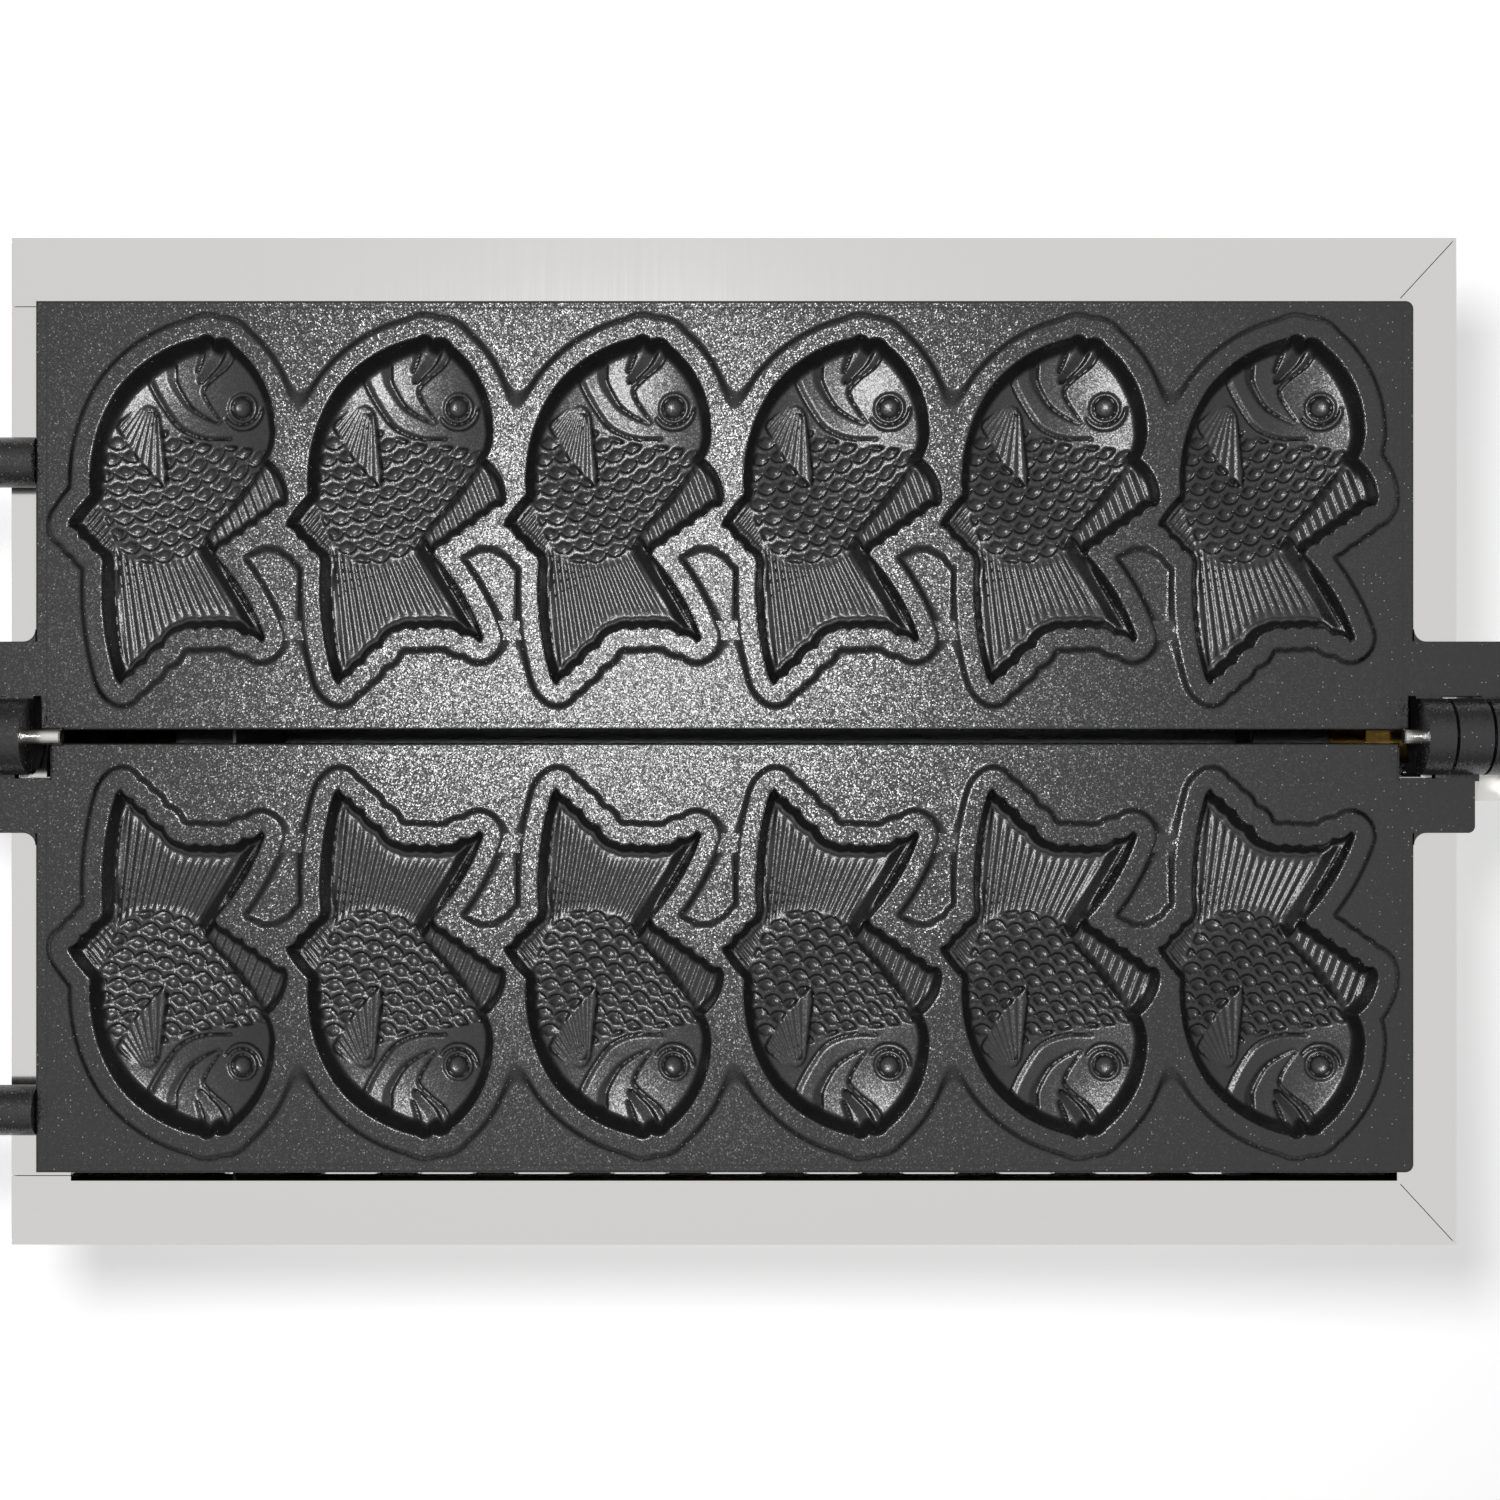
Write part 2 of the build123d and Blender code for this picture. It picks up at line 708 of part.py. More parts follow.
def mould_plate(side, row, ear_inner, notch, spans, handle_y):
    """One cast mould plate with its ears, knuckles and handle boss."""
    rims, hollows = row

    def across(distance):
        """The place along Y at a distance from the hinge axis, on this plate's own side."""
        return hinge_y + side * distance

    def outline(inset=0.0):
        """The plate seen from above, with its clearance notches beside the knuckles."""
        near, far = across(hinge_gap + inset), across(hinge_gap + plate_width - inset)
        half = plate_half - inset
        box_sketch(hinge_x - half, hinge_x + half, near, far)
        for end in ENDS.values():
            cut_start = hinge_x + end * (plate_half - notch - inset)
            cut_end = hinge_x + end * (plate_half + notch)
            box_sketch(cut_start, cut_end, hinge_y, across(ear_inner + inset), Mode.SUBTRACT)

    with BuildPart() as plate:
        with BuildSketch(plate_z(z_face - slab)) as slab_outline:
            outline()
            outer = slab_outline.vertices().group_by(SortBy.DISTANCE)[-1]
            fillet(outer, plate_corner)
        extrude(amount=slab)
        top = plate.faces().sort_by(Axis.Z)[-1]
        fillet(top.outer_wire().edges(), face_edge_radius)
        with BuildSketch(plate_z(z_skirt)):
            outline()
        extrude(amount=z_face - slab - z_skirt)
        with BuildSketch(plate_z(z_skirt)):
            outline(skirt_wall)
        extrude(amount=z_face - slab - z_skirt, mode=Mode.SUBTRACT)
        bulge_bottom = hinge_z - rim_drop - body_depth - bulge_wall
        with BuildSketch(plate_z(z_face - slab)):
            with Locations(*[(x, across(bulge_y)) for x, _ in row_places]):
                RectangleRounded(*bulge_size, bulge_corner)
        extrude(amount=bulge_bottom - z_face + slab, taper=bulge_draft)
        for end in ENDS.values():
            ear_end = hinge_x + end * (spans[-1][1] - ear_setback)
            with BuildSketch(plate_z(hinge_z - ear_depth)) as ear:
                inner_x = hinge_x + end * (plate_half - skirt_wall)
                ear_side = across(ear_inner + ear_width)
                box_sketch(inner_x, ear_end, across(ear_inner), ear_side)
                fillet(ear.vertices().group_by(SortBy.DISTANCE)[-1], ear_corner)
                root_x = hinge_x + end * plate_half
                far_x, far_side = root_x + end * ear_root, ear_side + side * ear_root
                box_sketch(root_x, far_x, ear_side, far_side)
                with Locations((far_x, far_side)):
                    Circle(ear_root, mode=Mode.SUBTRACT)
            extrude(amount=z_face - hinge_z + ear_depth)
            for start, stop in spans:
                with BuildSketch(station(hinge_x + end * start)):
                    with Locations((hinge_y, hinge_z)):
                        Circle(knuckle_radius)
                    web = (hinge_y, across(ear_inner + overrun), hinge_z - ear_depth, z_face)
                    box_sketch(*web)
                extrude(amount=end * (stop - start))
        boss_z = hinge_z - handle_drop
        boss_start = hinge_x - plate_half
        with BuildSketch(station(boss_start)):
            with Locations((across(handle_y), boss_z)):
                Circle(boss_radius)
        extrude(amount=-boss_length)
        add(rims)
        add(hollows, mode=Mode.SUBTRACT)
        for end in ENDS.values():
            bore = pin_radius + (rod_fit / 2 if side > 0 else pin_fit)
            bore_start = hinge_x + end * (knuckle_start - overrun)
            bore_end = hinge_x + end * (outer_end + overrun)
            cut_end_holes([(hinge_y, hinge_z)], bore, bore_start, bore_end)
            if side > 0:
                face = hinge_x + end * knuckle_start
                key_hole = (face - end * overrun, face + end * key_depth)
                cut_end_holes([(key_y, hinge_z)], key_radius, *key_hole)
        socket = (boss_start - boss_length, boss_start - boss_length + rod_socket)
        cut_end_holes([(across(handle_y), boss_z)], rod_radius + rod_fit, *socket)
    return plate.part


left_spans = [(knuckle_start, left_inner_end), (outer_start, outer_end)]
right_spans = [(right_start, right_end)]
left_sizes = (left_ear_inner, left_notch, left_spans, left_handle_y)
right_sizes = (right_ear_inner, right_notch, right_spans, right_handle_y)
save(mould_plate(1, left_row, *left_sizes), "left_mould_plate")
save(mould_plate(-1, right_row, *right_sizes), "right_mould_plate")


# ------------------------------------------------------------------ handles
def turned(points, axis_y, axis_z):
    """A round piece turned about an axis along X, from its (x, radius) outline."""
    with BuildPart() as piece:
        with BuildSketch(Plane.XZ.offset(-axis_y)):
            with BuildLine():
                ends = [(points[0][0], 0), *points, (points[-1][0], 0)]
                Polyline(*[(x, axis_z + r) for x, r in ends], close=True)
            make_face()
        revolve(axis=Axis((0, axis_y, axis_z), (1, 0, 0)))
    return piece.part


boss_end = hinge_x - plate_half - boss_length
rod_start = boss_end + rod_socket - overrun
grip_start = boss_end - grip_gap
grip_end = grip_start - grip_length
handle_z = hinge_z - handle_drop
handle_places = {"left": hinge_y + left_handle_y, "right": hinge_y - right_handle_y}
for name, y in handle_places.items():
    thread_end = grip_end - cap_length / 2
    rod = turned([(rod_start, rod_radius), (thread_end, rod_radius)], y, handle_z)
    save(rod, f"{name}_handle_rod")

    with BuildPart() as grip:
        outline = [
            (grip_start, grip_neck - grip_edge),
            (grip_start - grip_edge, grip_neck),
            (grip_start - grip_neck_length, grip_neck),
            (grip_start - grip_neck_length - grip_taper_length, grip_radius - grip_waist),
            (grip_start - grip_middle, grip_radius),
            (grip_end + grip_end_edge, grip_radius - grip_waist),
            (grip_end, grip_radius - grip_end_edge),
        ]
        add(turned(outline, y, handle_z))
        grip_bore = (grip_end - overrun, grip_start + overrun)
        cut_end_holes([(y, handle_z)], rod_radius + rod_fit, *grip_bore)
    save(grip.part, f"{name}_handle_grip")

    with BuildPart() as cap:
        outline = [
            (grip_end, cap_radius),
            (grip_end - cap_straight, cap_radius),
            (grip_end - (cap_straight + 2 * cap_length) / 3, cap_dome_radius),
            (grip_end - cap_length, cap_tip_radius),
        ]
        add(turned(outline, y, handle_z))
        cap_bore = (thread_end - rest_gap, grip_end + overrun)
        cut_end_holes([(y, handle_z)], rod_radius + rod_fit, *cap_bore)
    save(cap.part, f"{name}_grip_cap")


# ------------------------------------------------------------------ gas controls
def deep(depth):
    """The place along X at a depth behind the control panel's outer face."""
    return front_x + depth


def disc(x0, x1, y, z, radius, bore=0.0, mode=Mode.ADD):
    """A disc or ring about an axis along X, between two places along X."""
    with BuildSketch(station(min(x0, x1))) as ring:
        with Locations((y, z)):
            Circle(radius)
            if bore:
                Circle(bore, mode=Mode.SUBTRACT)
    extrude(ring.sketch, amount=abs(x1 - x0), mode=mode)


valve_front = deep(hub_length)
valve_back = valve_front + valve_length
outlet_end = valve_back + outlet_length
jet_hex_end = outlet_end + jet_hex
jet_tip = jet_hex_end + jet_length
shutter_start = jet_hex_end + shutter_gap
bell_start = shutter_start + shutter_sheet + shutter_gap
manifold_x = (valve_front + valve_back) / 2
manifold_z = valve_z - manifold_drop
boss_top = valve_z - valve_block / 2 - seam_gap
nipple_end = boss_top - nipple_length
hub_face = deep(-hub_proud)
collar_x = hub_face - spring_room
shoulder_x = collar_x - collar_width - shoulder_gap
knob_back = deep(-bezel_sheet) - push_travel - knob_gap
knob_front = knob_back - knob_length
recess_floor = shoulder_x - collar_width
stem_tip = knob_front + knob_cover
stem_end = deep(stem_inner)

for name, side in SIDES.items():
    y = side * valve_y
    with BuildPart() as valve:
        with BuildSketch(station(valve_front)) as block:
            with Locations((y, valve_z)):
                RectangleRounded(valve_block, valve_block, valve_corner)
        extrude(amount=valve_length)
        disc(hub_face, valve_front, y, valve_z, hub_radius)
        disc(valve_back, outlet_end, y, valve_z, outlet_radius)
        with BuildSketch(plate_z(nipple_end)):
            with Locations((manifold_x, y)):
                Circle(nipple_radius)
        extrude(amount=valve_z - valve_block / 2 - nipple_end + overrun)
        bore = (hub_face - overrun, stem_end + push_travel + overrun)
        cut_end_holes([(y, valve_z)], stem_radius + stem_fit, *bore)
        jet_seat = (outlet_end - spigot_length, outlet_end + overrun)
        cut_end_holes([(y, valve_z)], spigot_radius, *jet_seat)
    save(valve.part, f"gas_valve_{name}")

    with BuildPart() as stem:
        disc(stem_tip, stem_end, y, valve_z, stem_radius)
        disc(recess_floor, shoulder_x, y, valve_z, shoulder_radius)
        with BuildSketch(station(stem_tip)):
            flat_z = valve_z + stem_radius
            box_sketch(y - stem_radius, y + stem_radius, flat_z - stem_flat, flat_z)
        extrude(amount=recess_floor - stem_tip, mode=Mode.SUBTRACT)
    save(stem.part, f"valve_stem_{name}")

    with BuildPart() as collar:
        disc(collar_x - collar_width, collar_x, y, valve_z, collar_radius, stem_radius + stem_fit)
    save(collar.part, f"push_collar_{name}")

    with BuildPart() as bezel:
        disc(deep(-bezel_sheet), deep(0), y, valve_z, bezel_radius, bezel_inner)
    save(bezel.part, f"knob_bezel_{name}")

    with BuildPart() as knob:
        outline = [
            (knob_back, knob_radius),
            (knob_back - knob_skirt, knob_radius),
            (knob_back - knob_skirt - knob_cone, knob_neck),
            (knob_front + knob_edge, knob_face),
            (knob_front, knob_face - knob_edge),
        ]
        add(turned(outline, y, valve_z))
        disc(recess_floor, knob_back, y, valve_z, knob_recess, mode=Mode.SUBTRACT)
        with BuildSketch(station(knob_front)) as flutes:
            with Locations((y, valve_z)):
                with PolarLocations(knob_radius, knob_flutes, start_angle=180 / knob_flutes):
                    Circle(knob_flute_radius)
        extrude(amount=knob_flute_length, mode=Mode.SUBTRACT)
        with BuildSketch(station(stem_tip - rod_fit)) as stem_hole:
            with Locations((y, valve_z)):
                Circle(stem_radius + rod_fit)
            flat_z = valve_z + stem_radius
            near, far = flat_z - stem_flat + rod_fit, flat_z + overrun
            box_sketch(y - stem_radius, y + stem_radius, near, far, Mode.SUBTRACT)
        extrude(amount=recess_floor - stem_tip + rod_fit, mode=Mode.SUBTRACT)
        with BuildSketch(station(knob_front - pointer_proud)):
            low, high = valve_z + pointer_inner, valve_z + knob_face - pointer_inner
            box_sketch(y - pointer_width / 2, y + pointer_width / 2, low, high)
        extrude(amount=pointer_proud + pointer_depth)
    save(knob.part, f"gas_knob_{name}")

    with BuildPart() as jet:
        with BuildSketch(station(outlet_end)):
            with Locations((y, valve_z)):
                RegularPolygon(jet_across / 2, 6, major_radius=False)
        extrude(amount=jet_hex)
        disc(jet_hex_end, jet_tip, y, valve_z, jet_radius)
        disc(outlet_end - spigot_length + rest_gap, outlet_end, y, valve_z, spigot_radius - rod_fit)
        cut_end_holes([(y, valve_z)], jet_bore, outlet_end - spigot_length, jet_tip + overrun)
    save(jet.part, f"gas_jet_{name}")

    with BuildPart() as shutter:
        disc(shutter_start, shutter_start + shutter_sheet, y, valve_z, shutter_radius)
        with BuildSketch(station(shutter_start)):
            top = valve_z + shutter_radius
            tab_root = top - shutter_tab_root
            box_sketch(y - shutter_tab / 2, y + shutter_tab / 2, tab_root, top + shutter_tab)
        extrude(amount=shutter_sheet)
        with BuildSketch(station(shutter_start)):
            with Locations((y, valve_z)):
                Circle(jet_radius + stem_fit)
                with PolarLocations(air_hole_circle, air_hole_count):
                    Circle(air_hole_radius)
        extrude(amount=shutter_sheet, mode=Mode.SUBTRACT)
    save(shutter.part, f"air_shutter_{name}")

with BuildPart() as gas_manifold:
    pipe_end = valve_y + 2 * manifold_radius
    with BuildSketch(Plane.XZ.offset(-pipe_end)):
        with Locations((manifold_x, manifold_z)):
            Circle(manifold_radius)
    extrude(amount=2 * pipe_end)
    with BuildSketch(plate_z(manifold_z)):
        with Locations(*[(manifold_x, side * valve_y) for side in SIDES.values()]):
            Circle(nipple_radius + nipple_wall)
    extrude(amount=boss_top - manifold_z)
    supply_end = manifold_x + manifold_radius + supply_socket
    disc(manifold_x, supply_end, 0, manifold_z, supply_boss)
    with BuildSketch(Plane.XZ.offset(manifold_radius / 2 - pipe_end)):
        with Locations((manifold_x, manifold_z)):
            Circle(manifold_bore)
    extrude(amount=2 * pipe_end - manifold_radius, mode=Mode.SUBTRACT)
    with BuildSketch(plate_z(manifold_z)):
        with Locations(*[(manifold_x, side * valve_y) for side in SIDES.values()]):
            Circle(nipple_radius + rod_fit)
    extrude(amount=boss_top - manifold_z + overrun, mode=Mode.SUBTRACT)
    cut_end_holes([(0, manifold_z)], supply_radius + rod_fit, supply_end - supply_socket, supply_end)
save(gas_manifold.part, "gas_manifold")

shank_end = rear_x - inlet_shank_length
with BuildPart() as supply_pipe:
    pipe_start = supply_end - supply_socket + pipe_play
    pipe_stop = shank_end + supply_socket
    disc(pipe_start, pipe_stop, 0, manifold_z, supply_radius, inlet_bore)
save(supply_pipe.part, "supply_pipe")

with BuildPart() as inlet_fitting:
    hex_end = rear_x + inlet_hex_length
    with BuildSketch(station(rear_x)):
        with Locations((0, manifold_z)):
            RegularPolygon(inlet_hex / 2, 6, major_radius=False)
    extrude(amount=inlet_hex_length)
    disc(hex_end, hex_end + inlet_length, 0, manifold_z, inlet_radius)
    disc(shank_end, rear_x, 0, manifold_z, inlet_shank)
    tip = inlet_fitting.faces().sort_by(Axis.X)[-1]
    chamfer(tip.outer_wire().edges(), inlet_chamfer)
    bore = (shank_end - overrun, hex_end + inlet_length + overrun)
    cut_end_holes([(0, manifold_z)], inlet_bore, *bore)
    socket = (shank_end - overrun, shank_end + supply_socket + pipe_play)
    cut_end_holes([(0, manifold_z)], supply_radius + rod_fit, *socket)
save(inlet_fitting.part, "gas_inlet_fitting")

with BuildPart() as inlet_nut:
    with BuildSketch(station(rear_x - sheet)):
        with Locations((0, manifold_z)):
            RegularPolygon(lock_nut_across / 2, 6, major_radius=False)
            Circle(inlet_shank + rod_fit, mode=Mode.SUBTRACT)
    extrude(amount=-lock_nut_height)
save(inlet_nut.part, "inlet_lock_nut")


# ------------------------------------------------------------------ burners and their carriers
neck_start = bell_start + bell_length + cone_length
neck_end = neck_start + neck_length
tube_start = neck_end + cone_length
tube_end = tube_start + burner_length
shield_x = (neck_start + neck_end - support_sheet) / 2
support_x = tube_end + burner_stub_length / 2


def burner_profile(inset):
    """The burner's (x, radius) outline, or its inside with the wall as the inset."""
    return [
        (bell_start + inset, bell_radius - inset),
        (bell_start + bell_length, bell_radius - inset),
        (neck_start, neck_radius - inset),
        (neck_end, neck_radius - inset),
        (tube_start, burner_radius - inset),
        (tube_end - inset, burner_radius - inset),
    ]


for name, side in SIDES.items():
    y = side * valve_y
    with BuildPart() as burner:
        add(turned(burner_profile(0), y, valve_z))
        disc(tube_end, tube_end + burner_stub_length, y, valve_z, burner_stub_radius)
        add(turned(burner_profile(burner_wall), y, valve_z), mode=Mode.SUBTRACT)
        with BuildSketch(station(bell_start)):
            with Locations((y, valve_z)):
                Circle(jet_radius + support_clearance)
                with PolarLocations(air_hole_circle, air_hole_count):
                    Circle(air_hole_radius)
        extrude(amount=burner_wall, mode=Mode.SUBTRACT)
        port_count = int((burner_length - 2 * port_pitch) // port_pitch)
        middle = (tube_start + tube_end) / 2
        for lean in (-port_angle, port_angle):
            tilt = (0, sin(radians(lean)), cos(radians(lean)))
            port_plane = Plane((middle, y, valve_z), x_dir=(1, 0, 0), z_dir=tilt)
            with BuildSketch(port_plane):
                with GridLocations(port_pitch, 1, port_count, 1):
                    Circle(port_radius)
            extrude(amount=burner_radius + overrun, mode=Mode.SUBTRACT)
    save(burner.part, f"burner_{name}")


def cross_sheet(x, low, high, burner_hole):
    """A sheet across the burner chamber with flanges against the side walls."""
    with BuildPart() as cross:
        half = wall_y - seam_gap / 3
        with BuildSketch(station(x)):
            box_sketch(-half, half, low, high)
        extrude(amount=support_sheet)
        with BuildSketch(station(x)):
            for side in SIDES.values():
                box_sketch(side * (half - support_sheet), side * half, low, high)
        extrude(amount=support_flange)
        holes = (x - overrun, x + support_sheet + overrun)
        burner_places = [(side * valve_y, valve_z) for side in SIDES.values()]
        cut_end_holes(burner_places, burner_hole + support_clearance, *holes)
        cut_end_holes([(0, manifold_z)], supply_radius + support_clearance, *holes)
    return cross.part


sheet_low = slot_top + shield_top_gap
save(cross_sheet(shield_x, sheet_low, z_lip - shield_top_gap, neck_radius), "heat_shield")
support = cross_sheet(support_x, sheet_low, sheet_low + support_height, burner_stub_radius)
save(support, "burner_support")


# ------------------------------------------------------------------ crumb tray
tray_front = front_x - rest_gap
tray_floor = z_base + rest_gap
with BuildPart() as crumb_tray:
    with BuildSketch(plate_z(tray_floor)):
        box_sketch(tray_front, tray_front + tray_length, -tray_half_width, tray_half_width)
    extrude(amount=tray_height)
    with BuildSketch(plate_z(tray_floor + tray_sheet)):
        half = tray_half_width - tray_sheet
        box_sketch(tray_front, tray_front + tray_length - tray_sheet, -half, half)
    extrude(amount=tray_height, mode=Mode.SUBTRACT)
    with BuildSketch(station(tray_front - tray_sheet)):
        half = slot_y + tray_front_overlap
        box_sketch(-half, half, z_floor, slot_top + tray_front_overlap)
    extrude(amount=tray_sheet)
save(crumb_tray.part, "crumb_tray")

with BuildPart() as tray_pull:
    pull_back = tray_front - tray_sheet
    pull_z = (tray_floor + slot_top) / 2
    half = pull_width / 2
    with BuildLine() as pull_path:
        FilletPolyline(
            (pull_back, -half, pull_z),
            (pull_back - pull_reach, -half, pull_z),
            (pull_back - pull_reach, half, pull_z),
            (pull_back, half, pull_z),
            radius=pull_bend,
        )
    with BuildSketch(Plane((pull_back, -half, pull_z), z_dir=(-1, 0, 0))):
        Circle(pull_radius)
    sweep(path=pull_path.line)
save(tray_pull.part, "tray_pull")

for name, side in SIDES.items():
    with BuildPart() as rail:
        near = tray_half_width + rail_gap
        rail_front, rail_rear = front_x + panel_return, tray_front + tray_length
        with BuildSketch(plate_z(z_base)):
            box_sketch(rail_front, rail_rear, side * near, side * (near + sheet))
        extrude(amount=rail_height)
        with BuildSketch(plate_z(z_base)):
            box_sketch(rail_front, rail_rear, side * near, side * (near + rail_foot))
        extrude(amount=sheet)
    save(rail.part, f"tray_rail_{name}")
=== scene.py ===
"""Looks of a gas taiyaki maker that lies open: two coated mould plates on a stainless burner box."""

import logging
import math
from dataclasses import dataclass
from enum import Enum

import bmesh
import bpy
import numpy as np
from mathutils import Matrix, Vector


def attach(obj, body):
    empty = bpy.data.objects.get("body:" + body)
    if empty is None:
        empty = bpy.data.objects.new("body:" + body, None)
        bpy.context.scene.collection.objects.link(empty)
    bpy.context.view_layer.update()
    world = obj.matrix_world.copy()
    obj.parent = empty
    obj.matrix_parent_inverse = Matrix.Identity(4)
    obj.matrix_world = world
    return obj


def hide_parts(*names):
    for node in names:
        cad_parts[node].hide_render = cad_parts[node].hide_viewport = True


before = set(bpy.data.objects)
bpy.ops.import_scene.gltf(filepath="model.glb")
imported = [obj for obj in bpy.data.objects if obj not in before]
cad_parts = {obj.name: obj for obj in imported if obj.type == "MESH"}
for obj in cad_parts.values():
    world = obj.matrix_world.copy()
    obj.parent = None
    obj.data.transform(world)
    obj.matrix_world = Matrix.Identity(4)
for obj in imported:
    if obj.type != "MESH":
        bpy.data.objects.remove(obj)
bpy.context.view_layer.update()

LOG = logging.getLogger("taiyaki_maker")
MM = 0.001

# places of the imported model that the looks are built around, in millimetres
HINGE_Y = 1.6
RIM_TOP_Z = 211.15
ROW_CENTRE_X = 63.75
FISH_COUNT = 6
FISH_PITCH = 80.0
FRONT_X = -206.75
VALVE_Y = 94.0
VALVE_Z = 115.0
BEZEL_THICKNESS = 1.2
LEFT_HANDLE_Y = HINGE_Y + 101.4
RIGHT_HANDLE_Y = HINGE_Y - 138.0


class Side(Enum):
    """The two halves of the maker, with the direction of Y away from the hinge line."""

    LEFT = 1
    RIGHT = -1

    @property
    def word(self) -> str:
        """The side's name as the nodes spell it."""
        return self.name.lower()


class Grain(Enum):
    """The way that the ground lines of a brushed sheet run, with the number of its axis."""

    ALONG_X = 0
    ALONG_Y = 1


# ------------------------------------------------------------------ colours and nodes
def linear(code: str) -> tuple[float, float, float, float]:
    """Turns an sRGB colour into the linear one that a shader reads.

    Args:
        code: The colour as "#rrggbb".

    Returns:
        Linear red, green, blue and an alpha of one.
    """
    parts = [int(code[start:start + 2], 16) / 255 for start in (1, 3, 5)]
    red, green, blue = [c / 12.92 if c <= 0.04045 else ((c + 0.055) / 1.055) ** 2.4 for c in parts]
    return red, green, blue, 1.0


def add_node(
    tree: bpy.types.NodeTree,
    kind: str,
    values: dict | None = None,
    links: dict | None = None,
    **settings: object,
) -> bpy.types.Node:
    """Adds one node with its settings, its socket values and its links.

    Args:
        tree: The node tree that gets the node.
        kind: The node's type without "ShaderNode".
        values: Values of input sockets by name or number.
        links: Output sockets to link, by the name or number of the input.
        settings: Properties of the node itself.

    Returns:
        The new node.
    """
    node = tree.nodes.new("ShaderNode" + kind)
    for name, value in settings.items():
        setattr(node, name, value)
    for socket, value in (values or {}).items():
        node.inputs[socket].default_value = value
    for socket, source in (links or {}).items():
        tree.links.new(source, node.inputs[socket])
    return node


# ------------------------------------------------------------------ finishes
@dataclass(frozen=True)
class Finish:
    """A surface finish, made into a material once and then shared."""

    title: str
    colour: str
    roughness: float
    metallic: float = 0.0
    ior: float = 1.5

    def material(self) -> bpy.types.Material:
        """Builds the finish's material the first time, and finds it after that.

        Returns:
            The one material of this finish.
        """
        found = bpy.data.materials.get(self.title)
        if found:
            return found
        material = bpy.data.materials.new(self.title)
        material.use_nodes = True
        tree = material.node_tree
        shader = tree.nodes["Principled BSDF"]
        shader.inputs["Base Color"].default_value = linear(self.colour)
        shader.inputs["Roughness"].default_value = self.roughness
        shader.inputs["Metallic"].default_value = self.metallic
        if not self.metallic:
            shader.inputs["IOR"].default_value = self.ior
        place = add_node(tree, "TexCoord").outputs["Object"]
        self.pattern(tree, shader, place)
        return material

    def pattern(self, tree: bpy.types.NodeTree, shader: bpy.types.Node,
                place: bpy.types.NodeSocket) -> None:
        """Adds the finish's own pattern; a plain finish has none.

        Args:
            tree: The material's node tree.
            shader: The shader whose inputs the pattern drives.
            place: The place on the piece, in metres.
        """


